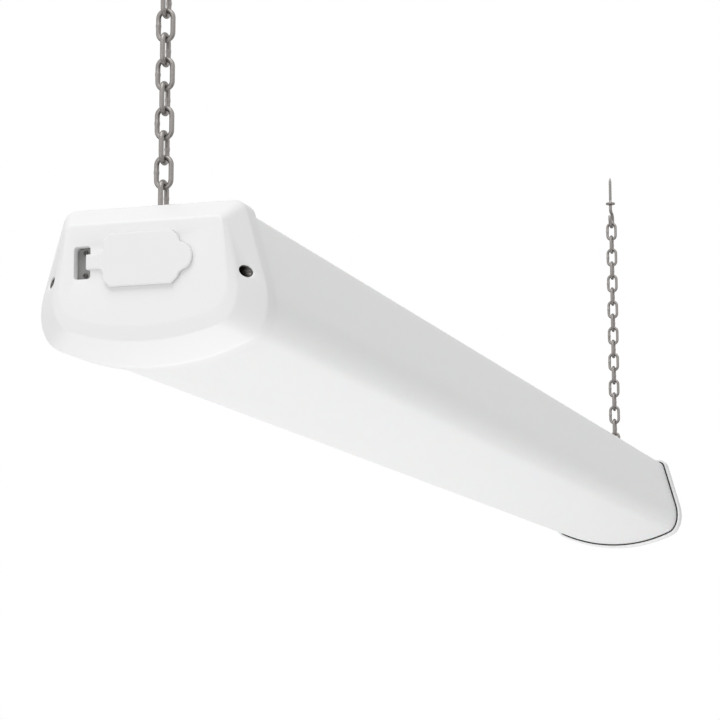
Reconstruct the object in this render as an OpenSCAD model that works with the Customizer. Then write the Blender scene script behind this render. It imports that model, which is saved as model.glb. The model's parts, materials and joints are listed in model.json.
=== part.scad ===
// Hanging shop light: a long linkable batten in an opal wrap, held by two link chains.
// Origin on the ceiling, midway between the two ceiling hooks. +X along the light towards
// the supply end, +Z up. The end with the socket cover is the near end, at -X.

/* [Light] */
// Length over both end caps
overall_l = 1200; // [1000:10:1500]
// Height of the end caps
cap_h = 82; // [76:1:90]
// Width of the end caps across their top
top_w = 95; // [90:1:104]
// Lean of the sides, wider towards the bottom
side_lean = 15.8; // [12:0.2:18]
// Radius of the curved underside
belly_r = 124; // [110:2:160]
// Radius of the upper corners
top_r = 7; // [6:0.5:9]
// Length of the side taken up by the lower corner
corner_side = 22; // [16:1:26]
// Length of the underside taken up by the lower corner
corner_base = 16; // [12:1:20]

/* [End caps] */
// Depth of an end cap along the light
cap_depth = 27; // [25:1:36]
// Depth of the bevels between the front face and the skirt
bevel_depth = 14; // [13:1:16]
// Depth of the narrow band round the front face
band_depth = 3.5; // [2.5:0.5:5]
// Drop from the top of the cap to the top of the front face
face_drop = 10.8; // [8:0.2:12]
// Rise from the bottom of the cap to the bottom of the front face
face_rise = 18.5; // [16:0.5:20]
// Rise from the bottom of the cap to the bottom of the band
band_rise = 11.5; // [9:0.5:13]
// Width of the front face at its top
face_w = 82.4; // [80:0.4:86]
// Lean of the sides of the front face
face_lean = 6; // [4:0.5:9]
// Lean of the outer edge of the band
band_lean = 10.8; // [9:0.2:13]
// Wall of an end cap
cap_wall = 2; // [1.6:0.1:2.4]
// Wall of the straight skirt behind the bevels
skirt_wall = 1.8; // [1.4:0.1:2.2]
// Distance of a cap screw behind the front face
cap_screw_in = 6.8; // [6.6:0.1:10]
// Depth of a cap screw below the top
cap_screw_down = 38; // [35:0.1:40]
// Bore of the recess over a cap screw
recess_d = 6.2; // [5.8:0.1:7]
// Wall of the steel sleeve in each recess
sleeve_t = 0.6; // [0.4:0.1:0.8]

/* [Lens and gasket] */
// Thickness of the gasket between skirt and lens
gasket_t = 1.2; // [0.8:0.1:1.6]
// Wall of the lens
lens_wall = 1.8; // [1.4:0.1:2.2]
// Distance of the lens ends behind the front faces
lens_in = 16; // [16:1:20]
// Distance between the two lips of the lens
lip_gap = 67.6; // [60:0.4:72]

/* [Housing and tray] */
// Thickness of the housing sheet
sheet_t = 1; // [0.8:0.1:1.2]
// Depth of the housing below the top
housing_depth = 22; // [21:0.5:26]
// Distance between the housing flanges
flange_gap = 76; // [70:1:78]
// Thickness of the reflector tray
tray_t = 0.8; // [0.6:0.1:1]
// Width of the flat of the tray
tray_w = 88; // [86:1:90]
// Distance of the tray ends behind the front faces
tray_in = 60; // [58:1:80]
// Screws along each edge of the tray
tray_screws_n = 4; // [2:1:8]

/* [End brackets] */
// Thickness of an end bracket
bracket_t = 1.2; // [1:0.1:1.6]
// Distance of the bracket web behind the front face
web_in = 17; // [17:0.5:19]
// Width of the bracket's top flange
bracket_flange_w = 32; // [26:1:40]
// Width of a cap screw tab
tab_w = 9.4; // [8:0.2:12]

/* [LEDs] */
// Width of an LED board
board_w = 18; // [14:1:22]
// Thickness of an LED board
board_t = 1.6; // [1:0.2:2]
// Distance between the two LED boards
board_spread = 40; // [30:1:50]
// LEDs on each board
led_n = 48; // [24:2:60]
// Length of one LED
led_l = 3.5; // [2.8:0.1:5]
// Width of one LED
led_w = 2.8; // [2:0.1:3.5]
// Height of one LED
led_t = 0.8; // [0.6:0.1:1.2]

/* [Driver] */
// Distance of the driver from the middle of the light
driver_x = 240; // [180:10:260]
// Length of the driver case
driver_l = 210; // [180:5:230]
// Width of the driver case
driver_w = 44; // [40:1:46]
// Height of the driver case
driver_h = 15; // [14.5:0.5:16]
// Wall of the driver case
driver_wall = 0.8; // [0.6:0.1:1]

/* [Link socket and supply inlet] */
// Sideways place of socket and inlet
socket_y = 0.6; // [-1:0.2:1.4]
// Depth of socket and inlet below the top
socket_down = 30; // [29:0.5:31]
// Width of the mouth in the cap
mouth_w = 31; // [29:0.5:32]
// Height of the mouth in the cap
mouth_h = 18.6; // [17.6:0.2:19.6]
// Depth of the socket face inside the mouth
socket_recess = 6.5; // [6:0.5:8]

/* [Socket cover] */
// Width of the cover
cover_w = 39.6; // [38:0.2:41]
// Height of the cover
cover_h = 26.7; // [25.5:0.1:28]
// Thickness of the cover
cover_t = 1.9; // [1.5:0.1:2.2]
// Corner chamfer of the cover
cover_chamfer = 3.5; // [2:0.5:5]
// Radius of the pull tongue
tongue_r = 7; // [5:0.5:8]
// Width of the strap
strap_w = 7.5; // [6:0.5:8]
// Thickness of the strap
strap_t = 1.6; // [1.4:0.1:1.8]
// Distance of the strap window from the middle of the cover
window_from_cover = 27.4; // [27:0.2:28]
// Width of the strap window
window_w = 8.8; // [8.4:0.2:9]
// Height of the strap window
window_h = 16.5; // [16:0.5:18]
// Depth of the clamp face inside the window
clamp_recess = 4.7; // [4.2:0.1:5]
// Thickness of the clamp
clamp_t = 1.7; // [1.4:0.1:2]
// Distance between the two clamp screws
clamp_screw_gap = 11.4; // [11:0.1:12]

/* [Chains and hooks] */
// Wire of a chain link
wire_d = 2.6; // [2:0.05:2.8]
// Length inside a link
link_l = 13.1; // [11:0.1:16]
// Width inside a link
link_w = 5.3; // [4.4:0.1:6]
// Links in each chain, an even number
links_n = 18; // [6:2:24]
// Distance of the chains behind the front faces
chain_in = 26; // [24:0.5:60]
// Wire of a ceiling hook
hook_d = 3; // [2.4:0.1:3.4]
// Bend radius of a ceiling hook
hook_r = 7; // [6.5:0.25:9]
// Threaded length above the ceiling
hook_thread_l = 25; // [15:1:35]
// Wire of a hanger eye
hanger_d = 2.4; // [2:0.1:3.4]
// Distance between the legs of a hanger eye
hanger_w = 18; // [16:1:24]

/* [Wires] */
// Diameter of an insulated mains wire
mains_d = 2.4; // [2:0.1:2.8]
// Diameter of an insulated LED lead
lead_d = 1.6; // [1.2:0.1:2]
// Distance between two wire clips
clip_step = 340; // [280:10:350]

/* [Hidden] */
$fn = 48;
ends = ["near", "far"];

// Clearances
joint_gap = 0.3;        // between pieces that move on each other
fit_gap = 0.5;          // round what stands in a mouth
screw_gap = 0.05;       // round a screw in its hole
lens_side_gap = 2;      // between housing side and lens
tab_gap = 0.2;          // between cap boss and bracket tab
eye_room = 0.6;         // round the last link and the hanger nuts

// Colours
white_plastic = "#F4F4F3";
opal = "#F8F8F7";
black_rubber = "#2B2B2B";
grey_plastic = "#9A9A98";
zinc = "#A9A7A3";
dark_steel = "#3A3A3A";
steel_white = "#EDEDEB";
brass = "#C9A24A";
board_green = "#2F6B4A";

// Curve steps
top_steps = 6;
corner_steps = 10;
belly_steps = 12;
corner_pull = 0.58;     // share of the corner that its curve leans into

// Screws
screw_d = 2.9;
head_d = 5.4;
head_t = 1.9;
small_screw_d = 1.5;
small_head_d = 2.3;
small_head_t = 1.1;
nut_w = 5.5;            // across the flats
nut_t = 2.4;
thin_nut_t = 1.6;

// Heights below the top of the light, as z
lens_step = skirt_wall + gasket_t;
lens_in_g = lens_step + lens_wall;
top_z = -lens_step;
plate_under_z = top_z - sheet_t;
lip_under_z = -lens_in_g;
flange_z = -housing_depth;
flange_under_z = flange_z - sheet_t / 2;
tray_z = flange_under_z - tray_t / 2;
tray_under_z = tray_z - tray_t / 2;
tray_top_z = tray_z + tray_t / 2;
board_under_z = tray_under_z - board_t;
socket_z = -socket_down;
cap_screw_z = -cap_screw_down;
driver_low_z = plate_under_z - driver_h;

// Ends of long pieces, as distances from the middle
half_l = overall_l / 2;
lens_end = half_l - lens_in;
tray_end = half_l - tray_in;
board_end = tray_end - 4;
board_y = board_spread / 2;

// Chain heights, from the ceiling down
collar_t = 1.5;
elbow_r = 3;
elbow_z = -6;
hook_z = elbow_z - elbow_r - hook_r;
hook_seat_z = hook_z - hook_r;
link_step = link_l - joint_gap;
link_half = (link_l + wire_d) / 2;      // middle of a link to the middle of its end wire
first_link_z = hook_seat_z + (hook_d + wire_d) / 2 + joint_gap - link_half;
last_link_z = first_link_z - (links_n - 1) * link_step;
bar_z = last_link_z - link_half + (hanger_d + wire_d) / 2 + joint_gap;
link_room = 0.45;                       // under the last link, over the housing
bar_rise = hanger_d / 2 + joint_gap + wire_d + link_room;
hanger_bar = top_z + bar_rise;          // the hanger bar, from the top of the light
light_z = bar_z - hanger_bar;           // top of the light
hanger_y = hanger_w / 2;
hanger_bend = 3;
chain_x = half_l - chain_in;

// Cover and window, from the front face of the near cap
cover_face = -joint_gap;
strap_mid = cover_face - strap_t / 2;
window_y = socket_y + window_from_cover + window_w / 2;
window_edge = window_y - window_w / 2;
cover_edge = socket_y + cover_w / 2;
strap_z = socket_z - 0.2;
hinge_y = (cover_edge + window_edge) / 2;
tail_start = hinge_y + strap_t / 2 + joint_gap;
pocket_depth = clamp_recess + clamp_t + strap_t + 0.4;
clamp_y = window_y - 0.1;

// ---------- sections and sheets ----------

function unit(v) = v / norm(v);
function left_of(v) = [-v.y, v.x];
function flip(points) = [for (i = [len(points) - 1:-1:0]) [-points[i].x, points[i].y]];
function both_sides(half) = concat(half, flip(half));

// Corner of a folded sheet: the way out from its middle line, as long as the mitre needs
function mitre(path, i) =
    let (n = len(path),
         before = left_of(unit(path[max(i, 1)] - path[max(i, 1) - 1])),
         after = left_of(unit(path[min(i, n - 2) + 1] - path[min(i, n - 2)])))
    (before + after) / (1 + before * after);

// Closed outline of a folded sheet, from the points along its middle line
function fold(path, t) =
    let (n = len(path))
    concat([for (i = [0:n - 1]) path[i] + mitre(path, i) * t / 2],
           [for (i = [n - 1:-1:0]) path[i] - mitre(path, i) * t / 2]);

// Point on a cubic curve
function curve(a, b, c, d, t) =
    pow(1 - t, 3) * a + 3 * pow(1 - t, 2) * t * b + 3 * (1 - t) * t * t * c + pow(t, 3) * d;

// A section is [top, half width at the top, lean, top radius, bottom, corner on side, corner on base]
cap_section = [0, top_w / 2, side_lean, top_r, -cap_h, corner_side, corner_base];
face_section = [-face_drop, face_w / 2, face_lean, 4, face_rise - cap_h, 12, 12];
// The band follows the top bevel, so its top lies on the line from the face to the skirt
band_top = -face_drop * (1 - band_depth / bevel_depth);
band_half_w = face_w / 2 - (face_drop + band_top) * tan(band_lean) + 0.9;
band_section = [band_top, band_half_w, band_lean, 4.7, band_rise - cap_h, 17, 14];

// Half width of the straight side of a section at height z, g inside it
function side_y(s, z, g = 0) = s[1] + (s[0] - z) * tan(s[2]) - g / cos(s[2]);

// Right half of a section, g inside it, from the top round to the middle of the belly
function half_section(s, g = 0) =
    let (lean = s[2],
         r = max(s[3] - g, 0.5),
         fillet_z = s[0] - g - r,
         fillet_y = side_y(s, fillet_z, g + r),
         belly_z = s[4] + belly_r,
         R = belly_r - g,
         w = side_y(s, s[0], g),
         h = s[0] - belly_z,
         qa = pow(tan(lean), 2) + 1,
         qb = 2 * (w * tan(lean) - h),
         qc = w * w + h * h - R * R,
         down = (sqrt(qb * qb - 4 * qa * qc) - qb) / (2 * qa),
         knee = [w + down * tan(lean), s[0] - down],
         knee_turn = asin(knee.x / R),
         trim = g * tan(45 + (lean - knee_turn) / 2),
         side_l = s[5] - trim,
         base_l = s[6] - trim,
         start = knee + side_l * [-sin(lean), cos(lean)],
         turn = knee_turn - base_l / R * 180 / PI,
         end = [R * sin(turn), belly_z - R * cos(turn)],
         pull_start = start + corner_pull * side_l * [sin(lean), -cos(lean)],
         pull_end = end + corner_pull * base_l * [cos(turn), sin(turn)])
    concat([for (i = [0:top_steps])
                let (a = 90 - (90 - lean) * i / top_steps)
                [fillet_y + r * cos(a), fillet_z + r * sin(a)]],
           [for (i = [0:corner_steps]) curve(start, pull_start, pull_end, end, i / corner_steps)],
           [for (i = [1:belly_steps])
                let (a = turn * (1 - i / belly_steps)) [R * sin(a), belly_z - R * cos(a)]]);

function section(s, g = 0) =
    let (half = half_section(s, g))
    concat(half, [for (i = [len(half) - 2:-1:0]) [-half[i].x, half[i].y]]);

// Closed solid through rings of points, each clockwise as seen from the last ring
module skin(rings) {
    n = len(rings[0]);
    m = len(rings);
    faces = concat(
        [[for (i = [n - 1:-1:0]) i]],
        [[for (i = [0:n - 1]) n * (m - 1) + i]],
        [for (r = [0:m - 2]) each [for (i = [0:n - 1])
            let (a = r * n + i, b = r * n + (i + 1) % n)
            each [[a + n, a, b], [a + n, b, b + n]]]]);
    polyhedron([for (ring = rings) each ring], faces, convexity = 8);
}

// Solid through sections, each [distance along X, section points]
module loft(sections) { skin([for (s = sections) [for (p = s[1]) [s[0], p.x, p.y]]]); }

// Round tube along a route that runs towards +X or -X, never straight up
module tube(route, d, sides = 8) {
    last = len(route) - 1;
    skin([for (i = [0:last])
        let (f = unit(route[min(i + 1, last)] - route[max(i - 1, 0)]),
             s = unit(cross([0, 0, 1], f)),
             u = cross(f, s))
        [for (k = [0:sides - 1])
            let (a = 360 * k / sides) route[i] + d / 2 * (cos(a) * s - sin(a) * u)]]);
}

// ---------- placing ----------

// What belongs to the light, whose own top is at z = 0
module hung() { translate([0, 0, light_z]) children(); }

// An end of the light: x counts from the front face of the cap towards the middle
module at_end(end) {
    if (end == "near") translate([-half_l, 0, 0]) children();
    else mirror([1, 0, 0]) translate([-half_l, 0, 0]) children();
}

// Flat shape in Y and Z, carried along X
module run(from, to) { translate([from, 0, 0]) rotate([90, 0, 90]) linear_extrude(to - from) children(); }

// Box from its corners
module box(low, high) { translate(low) cube(high - low); }

// Upright or lying rod
module rod_x(p, d, l) { translate(p) rotate([0, 90, 0]) cylinder(d = d, h = l); }
module rod_y(p, d, l) { translate(p) rotate([-90, 0, 0]) cylinder(d = d, h = l); }
module rod_z(p, d, l) { translate(p) cylinder(d = d, h = l); }

// Rectangle with round corners, centred
module round_rect(w, h, r) {
    square([w - 2 * r, h], center = true);
    square([w, h - 2 * r], center = true);
    for (x = [-1, 1], y = [-1, 1]) translate([x * (w / 2 - r), y * (h / 2 - r)]) circle(r);
}

// Screw with a round head and a cross slot: its head lies on z = 0, its shank goes down
module screw(d, l, head, head_h) {
    difference() {
        cylinder(d = head, h = head_h);
        for (a = [0, 90])
            rotate(a) box([-head / 3, -head / 14, head_h * 0.45], [head / 3, head / 14, head_h + 1]);
    }
    translate([0, 0, -l]) cylinder(d = d, h = l);
}

module hex_nut(w, h, bore) {
    difference() {
        cylinder(d = w / cos(30), h = h, $fn = 6);
        translate([0, 0, -1]) cylinder(d = bore, h = h + 2);
    }
}

// ---------- chains and hooks ----------

// Screw hook: thread in the ceiling, round collar, elbow and open hook
module ceiling_hook(end) {
    mouth = 20;
    color(zinc) at_end(end) translate([chain_in, 0, 0]) {
        rod_z([elbow_r, 0, elbow_z], hook_d, hook_thread_l - elbow_z - hook_d);
        translate([elbow_r, 0, hook_thread_l - hook_d]) cylinder(d1 = hook_d, d2 = 0.4, h = hook_d);
        rod_z([elbow_r, 0, -collar_t], 3 * hook_d, collar_t);
        translate([0, 0, elbow_z]) rotate([90, 0, 0]) rotate(-90)
            rotate_extrude(angle = 90) translate([elbow_r, 0]) circle(d = hook_d);
        translate([0, 0, hook_z]) rotate([90, 0, 0]) rotate(90)
            rotate_extrude(angle = 270 + mouth) translate([hook_r, 0]) circle(d = hook_d);
    }
}

// Oval link in the X-Z plane
module link() {
    bend = (link_w + wire_d) / 2;
    straight = link_l / 2 - link_w / 2;
    for (s = [-1, 1]) {
        rod_z([s * bend, 0, -straight], wire_d, 2 * straight);
        translate([0, 0, s * straight]) rotate([90, 0, 0]) rotate(s > 0 ? 0 : 180)
            rotate_extrude(angle = 180) translate([bend, 0]) circle(d = wire_d);
    }
}

// Links first to last, counted from the ceiling: odd ones stand across the light
module links(end, first, last) {
    color(zinc) at_end(end) for (i = [first:last])
        translate([chain_in, 0, first_link_z - (i - 1) * link_step]) rotate(i % 2 == 1 ? 90 : 0) link();
}

module chain_top_link(end) { links(end, 1, 1); }
module chain_links(end) { links(end, 2, links_n); }

// Wire eye over the housing: a bar for the last link, and two threaded legs
leg_low_z = plate_under_z - bracket_t - nut_t - 2;
module hanger(end) {
    bend_z = hanger_bar - hanger_bend;
    color(zinc) hung() at_end(end) translate([chain_in, 0, 0]) {
        rod_y([0, hanger_bend - hanger_y, hanger_bar], hanger_d, hanger_w - 2 * hanger_bend);
        for (s = [-1, 1]) {
            rod_z([0, s * hanger_y, leg_low_z], hanger_d, bend_z - leg_low_z);
            translate([0, s * (hanger_y - hanger_bend), bend_z]) rotate([90, 0, 90]) rotate(s > 0 ? 0 : 90)
                rotate_extrude(angle = 90) translate([hanger_bend, 0]) circle(d = hanger_d);
        }
    }
}

// Thin nuts over the housing and full nuts under the bracket flange
module hanger_nuts(end) {
    color(zinc) hung() at_end(end) for (s = [-1, 1]) translate([chain_in, s * hanger_y, 0]) {
        translate([0, 0, top_z]) hex_nut(nut_w, thin_nut_t, hanger_d + 2 * screw_gap);
        translate([0, 0, plate_under_z - bracket_t - nut_t]) hex_nut(nut_w, nut_t, hanger_d + 2 * screw_gap);
    }
}

// ---------- end caps ----------

face_ring = section(face_section);
band_ring = section(band_section);
skirt_ring = section(cap_section);
seat_g = lens_in_g + 0.4;               // the ledge that the lens ends stand on
boss_y = side_y(face_section, cap_screw_z, 0) - 1.4;
boss_reach = top_w;
boss_half_h = 5.5;
boss_back = cap_screw_in + 5;
recess_seat_y = boss_y + 2.4;           // what the head of a cap screw stands on
recess_reach = 30;
cap_head_d = recess_d - 2 * sleeve_t - 6 * screw_gap;
cap_screw_past = 2.5;                   // a cap screw comes through its tab by this
notch_in = chain_in - link_w / 2 - wire_d - eye_room;
notch_y = hanger_y + nut_w / 2 / cos(30) + eye_room;

module cap_blank() {
    loft([[0, face_ring], [band_depth, band_ring], [bevel_depth, skirt_ring], [cap_depth, skirt_ring]]);
}

module cap_hollow() {
    ledge = section(cap_section, seat_g);
    bore = section(cap_section, skirt_wall);
    loft([[cap_wall, section(face_section, cap_wall)],
          [band_depth + cap_wall, section(band_section, cap_wall + 0.4)],
          [bevel_depth, ledge], [lens_in, ledge], [lens_in, bore], [cap_depth + 1, bore]]);
}

// Room in the top of the skirt for the hanger eye, its nuts and the last link
module eye_notch() {
    if (notch_in < cap_depth) box([notch_in, -notch_y, -seat_g - 1], [cap_depth + 2, notch_y, 1]);
}

// Mouth with its collar, round the nose of the socket or the inlet
module cap_shell(end) {
    collar_l = socket_recess + 2;
    difference() {
        union() {
            difference() {
                cap_blank();
                cap_hollow();
            }
            intersection() {
                cap_blank();
                for (s = [-1, 1])
                    box([cap_wall / 2, s > 0 ? boss_y : -boss_reach, cap_screw_z - boss_half_h],
                        [boss_back, s > 0 ? boss_reach : -boss_y, cap_screw_z + boss_half_h]);
            }
            translate([0, socket_y, socket_z])
                run(cap_wall / 2, collar_l) round_rect(mouth_w + 2 * cap_wall, mouth_h + 2 * cap_wall, 3);
            if (end == "near")
                translate([0, window_y, strap_z])
                    run(cap_wall / 2, pocket_depth + 2.6) round_rect(window_w + 2.8, window_h + 2.8, 2.5);
        }
        eye_notch();
        translate([0, socket_y, socket_z]) run(-1, collar_l + 1) round_rect(mouth_w, mouth_h, 2);
        for (s = [-1, 1]) {
            rod_y([cap_screw_in, s > 0 ? recess_seat_y : -recess_seat_y - recess_reach, cap_screw_z],
                  recess_d, recess_reach);
            rod_y([cap_screw_in, s > 0 ? boss_y - 1 : -boss_y - 9, cap_screw_z], screw_d + 4 * screw_gap, 10);
        }
        if (end == "near") {
            translate([0, window_y, strap_z]) run(-1, pocket_depth) round_rect(window_w, window_h, 1.6);
            for (s = [-1, 1])
                rod_x([pocket_depth - 1, clamp_y, strap_z + s * clamp_screw_gap / 2],
                      small_screw_d + 2 * screw_gap, 3.2);
        }
    }
}

module end_cap(end) { color(white_plastic) hung() at_end(end) cap_shell(end); }

module gasket(end) {
    color(black_rubber) hung() at_end(end) difference() {
        run(lens_in, cap_depth) polygon(section(cap_section, skirt_wall));
        run(lens_in - 1, cap_depth + 1) polygon(section(cap_section, lens_step));
        eye_notch();
    }
}

// Screws through the side recesses into the bracket tabs
module cap_screws(end) {
    color(dark_steel) hung() at_end(end) for (s = [-1, 1])
        translate([cap_screw_in, s * recess_seat_y, cap_screw_z]) rotate([-90 * s, 0, 0])
            screw(screw_d, recess_seat_y - boss_y + tab_gap + bracket_t + cap_screw_past, cap_head_d, head_t);
}

// Blackened steel sleeves in the recesses, cut off flush with the bevel
module screw_sleeves(end) {
    outer = recess_d - 2 * screw_gap;
    color(dark_steel) hung() at_end(end) difference() {
        intersection() {
            cap_blank();
            for (s = [-1, 1])
                rod_y([cap_screw_in, s > 0 ? recess_seat_y : -recess_seat_y - recess_reach, cap_screw_z],
                      outer, recess_reach);
        }
        rod_y([cap_screw_in, -boss_reach, cap_screw_z], outer - 2 * sleeve_t, 2 * boss_reach);
    }
}

tab_y = boss_y - tab_gap - bracket_t / 2;
tab_front = cap_wall + 0.7 * band_depth;    // where the cap has widened past the tab

// Web across the housing, a top flange under its plate and two tabs for the cap screws
module end_bracket(end) {
    plateau = lip_gap / 2 - 2.5;
    top = plate_under_z;
    low = cap_screw_z - 6;
    under = flange_under_z - tray_t - 1;
    reach = tab_y + bracket_t / 2;
    half = [[plateau, top], [plateau, under], [reach, under], [reach, low]];
    color(zinc) hung() at_end(end) difference() {
        union() {
            run(web_in, web_in + bracket_t) polygon(both_sides(half));
            box([web_in, -bracket_flange_w / 2, top - bracket_t], [chain_in + 8, bracket_flange_w / 2, top]);
            for (s = [-1, 1])
                box([tab_front, s > 0 ? reach - bracket_t : -reach, cap_screw_z - tab_w / 2],
                    [web_in + bracket_t, s > 0 ? reach : bracket_t - reach, cap_screw_z + tab_w / 2]);
        }
        translate([0, socket_y, socket_z]) run(web_in - 1, web_in + bracket_t + 1)
            square([body_w + 2 * fit_gap, body_h + 2 * fit_gap], center = true);
        for (s = [-1, 1]) {
            rod_y([cap_screw_in, s * tab_y - 5, cap_screw_z], screw_d + 2 * screw_gap, 10);
            rod_z([chain_in, s * hanger_y, top - 5], hanger_d + 2 * screw_gap, 10);
            rod_x([web_in - 1, socket_y + s * flange_screw_y, socket_z], screw_d + 2 * screw_gap, 5);
        }
    }
}

// ---------- housing, lens and tray ----------

housing_g = lens_in_g + lens_side_gap + sheet_t / 2;
module housing() {
    lip_z = lip_under_z - sheet_t / 2;
    plate_z = top_z - sheet_t / 2;
    step_y = lip_gap / 2 - sheet_t / 2 - joint_gap;
    half = [[step_y, plate_z], [step_y, lip_z], [side_y(cap_section, lip_z, housing_g), lip_z],
            [side_y(cap_section, flange_z, housing_g), flange_z], [flange_gap / 2, flange_z]];
    path = concat(flip(half), half);
    color(steel_white) hung() difference() {
        run(fit_gap - lens_end, lens_end - fit_gap) polygon(fold(path, sheet_t));
        for (e = [-1, 1], s = [-1, 1])
            rod_z([e * chain_x, s * hanger_y, top_z - 5], hanger_d + 2 * screw_gap, 10);
        for (e = [-1, 1])
            rod_z([driver_x + e * driver_screw_x, 0, top_z - 5], screw_d + 2 * screw_gap, 10);
        rod_z([earth_x, 0, top_z - 5], screw_d + 2 * screw_gap, 10);
        for (p = tray_screw_places) rod_z([p.x, p.y, flange_z - 5], screw_d + 2 * screw_gap, 10);
    }
}

// Opal wrap: one skin, open at the top between its two lips
module lens() {
    function wrap(g) =
        let (half = concat([[lip_gap / 2, -g]], half_section(cap_section, g)))
        concat(half, [for (i = [len(half) - 2:-1:0]) [-half[i].x, half[i].y]]);
    inner = wrap(lens_in_g);
    color(opal) hung() run(-lens_end, lens_end)
        polygon(concat(wrap(lens_step), [for (i = [len(inner) - 1:-1:0]) inner[i]]));
}

tray_screw_y = (flange_gap + tray_w) / 4;
tray_screw_places = [for (i = [0:tray_screws_n - 1], s = [-1, 1])
    [(i - (tray_screws_n - 1) / 2) * 2 * (tray_end - 40) / max(tray_screws_n - 1, 1), s * tray_screw_y]];

module led_tray() {
    wing = 4;
    half = [[tray_w / 2, tray_z], [tray_w / 2 + wing, tray_z - wing]];
    color(steel_white) hung() difference() {
        run(-tray_end, tray_end) polygon(fold(concat(flip(half), half), tray_t));
        for (p = tray_screw_places) rod_z([p.x, p.y, tray_z - 5], screw_d + 2 * screw_gap, 10);
        for (p = board_screw_places, s = [-1, 1])
            rod_z([p, s * board_y, tray_z - 5], screw_d + 2 * screw_gap, 10);
        for (s = [-1, 1])
            rod_z([lead_hole_x, s * lead_hole_y, tray_z - 5], lead_d + 2, 10);
    }
}

module tray_screws() {
    color(zinc) hung() for (p = tray_screw_places)
        translate([p.x, p.y, tray_under_z]) mirror([0, 0, 1])
            screw(screw_d, tray_t + sheet_t + 2, head_d, head_t);
}

// ---------- LEDs ----------

led_pitch = 2 * board_end / led_n;
board_screw_places = [for (k = [-3, -1, 1, 3]) led_pitch * round(k * led_n / 8)];

module led_board(s) {
    color("#F2F2EC") hung() difference() {
        box([-board_end, s * board_y - board_w / 2, board_under_z],
            [board_end, s * board_y + board_w / 2, tray_under_z]);
        for (x = board_screw_places) rod_z([x, s * board_y, board_under_z - 5], screw_d + 2 * screw_gap, 10);
    }
}

module leds(s) {
    color("#F0DC82") hung() for (i = [0:led_n - 1])
        translate([(i + 0.5) * led_pitch - board_end - led_l / 2, s * board_y - led_w / 2,
                   board_under_z - led_t])
            cube([led_l, led_w, led_t]);
}

module board_screws() {
    color(zinc) hung() for (x = board_screw_places, s = [-1, 1])
        translate([x, s * board_y, board_under_z]) mirror([0, 0, 1])
            screw(screw_d, board_t + tray_t + 1.5, head_d, head_t);
}

// ---------- driver ----------

lid_t = driver_wall;
lead_bore = 5;
tab_l = 12;
driver_screw_x = driver_l / 2 + tab_l / 2;
pcb_w = driver_w - 2 * driver_wall - 2;
pcb_l = driver_l - 2 * driver_wall - 4;
pcb_t = 1.6;
standoff_h = 2.2;
pcb_top_z = plate_under_z - driver_wall - standoff_h;
pcb_z = pcb_top_z - pcb_t;
standoff_x = pcb_l / 2 - 5;
standoff_y = pcb_w / 2 - 4;
lead_z = pcb_z - 4;

module in_driver() { hung() translate([driver_x, 0, 0]) children(); }

// Box open below, with a tab at each end and four standoffs
module driver_case() {
    color("#D8D8D4") in_driver() difference() {
        union() {
            difference() {
                box([-driver_l / 2, -driver_w / 2, driver_low_z],
                    [driver_l / 2, driver_w / 2, plate_under_z]);
                box([driver_wall - driver_l / 2, driver_wall - driver_w / 2, driver_low_z - 1],
                    [driver_l / 2 - driver_wall, driver_w / 2 - driver_wall, plate_under_z - driver_wall]);
            }
            for (e = [-1, 1])
                box([e > 0 ? driver_l / 2 : -driver_l / 2 - tab_l, -driver_w / 4,
                     plate_under_z - driver_wall],
                    [e > 0 ? driver_l / 2 + tab_l : -driver_l / 2, driver_w / 4, plate_under_z]);
            for (e = [-1, 1], s = [-1, 1])
                rod_z([e * standoff_x, s * standoff_y, pcb_top_z], 5, standoff_h + driver_wall / 2);
        }
        for (e = [-1, 1]) {
            rod_z([e * driver_screw_x, 0, plate_under_z - 5], screw_d + 2 * screw_gap, 10);
            rod_x([e * driver_l / 2 - 5, 0, lead_z], lead_bore, 10);
        }
    }
}

// Lid that closes the case from below, held by its own folded lips
module driver_lid() {
    lip = 4;
    low = driver_low_z - lid_t;
    y = driver_w / 2 + screw_gap;
    color("#D8D8D4") in_driver() {
        box([-driver_l / 2, -y - lid_t, low], [driver_l / 2, y + lid_t, driver_low_z]);
        for (s = [-1, 1])
            box([-driver_l / 2, s > 0 ? y : -y - lid_t, driver_low_z],
                [driver_l / 2, s > 0 ? y + lid_t : -y, driver_low_z + lip]);
    }
}

module driver_board() {
    color(board_green) in_driver() box([-pcb_l / 2, -pcb_w / 2, pcb_z], [pcb_l / 2, pcb_w / 2, pcb_top_z]);
}

// Parts on the driver board, placed from its middle
transformer_x = 20;
transformer = [22, 24, 8.6];
core_w = 14;            // the ferrite, between the two sides where the winding shows
core_step = 2;
choke_x = -48;
choke_d = 18;
choke_bore = 8;
choke_h = 7;
can_d = 8;
can_rise = 0.2;         // a can stands off the board by this
input_can = [-32, 20];  // place and length of each of the two input cans
output_can = [44, 16];
film_box = [-72, 8, 14];

// Tape-wound coil on a ferrite core that stands proud of it
module driver_transformer() {
    l = transformer.x;
    w = transformer.y;
    h = transformer.z;
    color("#C9A227") in_driver() translate([transformer_x, 0, pcb_z]) difference() {
        box([-l / 2, -w / 2, -h], [l / 2, w / 2, 0]);
        for (s = [-1, 1])
            box([-l, s > 0 ? core_w / 2 : -w, -h - 1], [l, s > 0 ? w : -core_w / 2, core_step - h]);
    }
}

// Ring choke, lying on the board
module driver_choke() {
    color("#7A4B2A") in_driver() translate([choke_x, 0, pcb_z - choke_h]) difference() {
        cylinder(d = choke_d, h = choke_h);
        translate([0, 0, -1]) cylinder(d = choke_bore, h = choke_h);
    }
}

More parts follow.
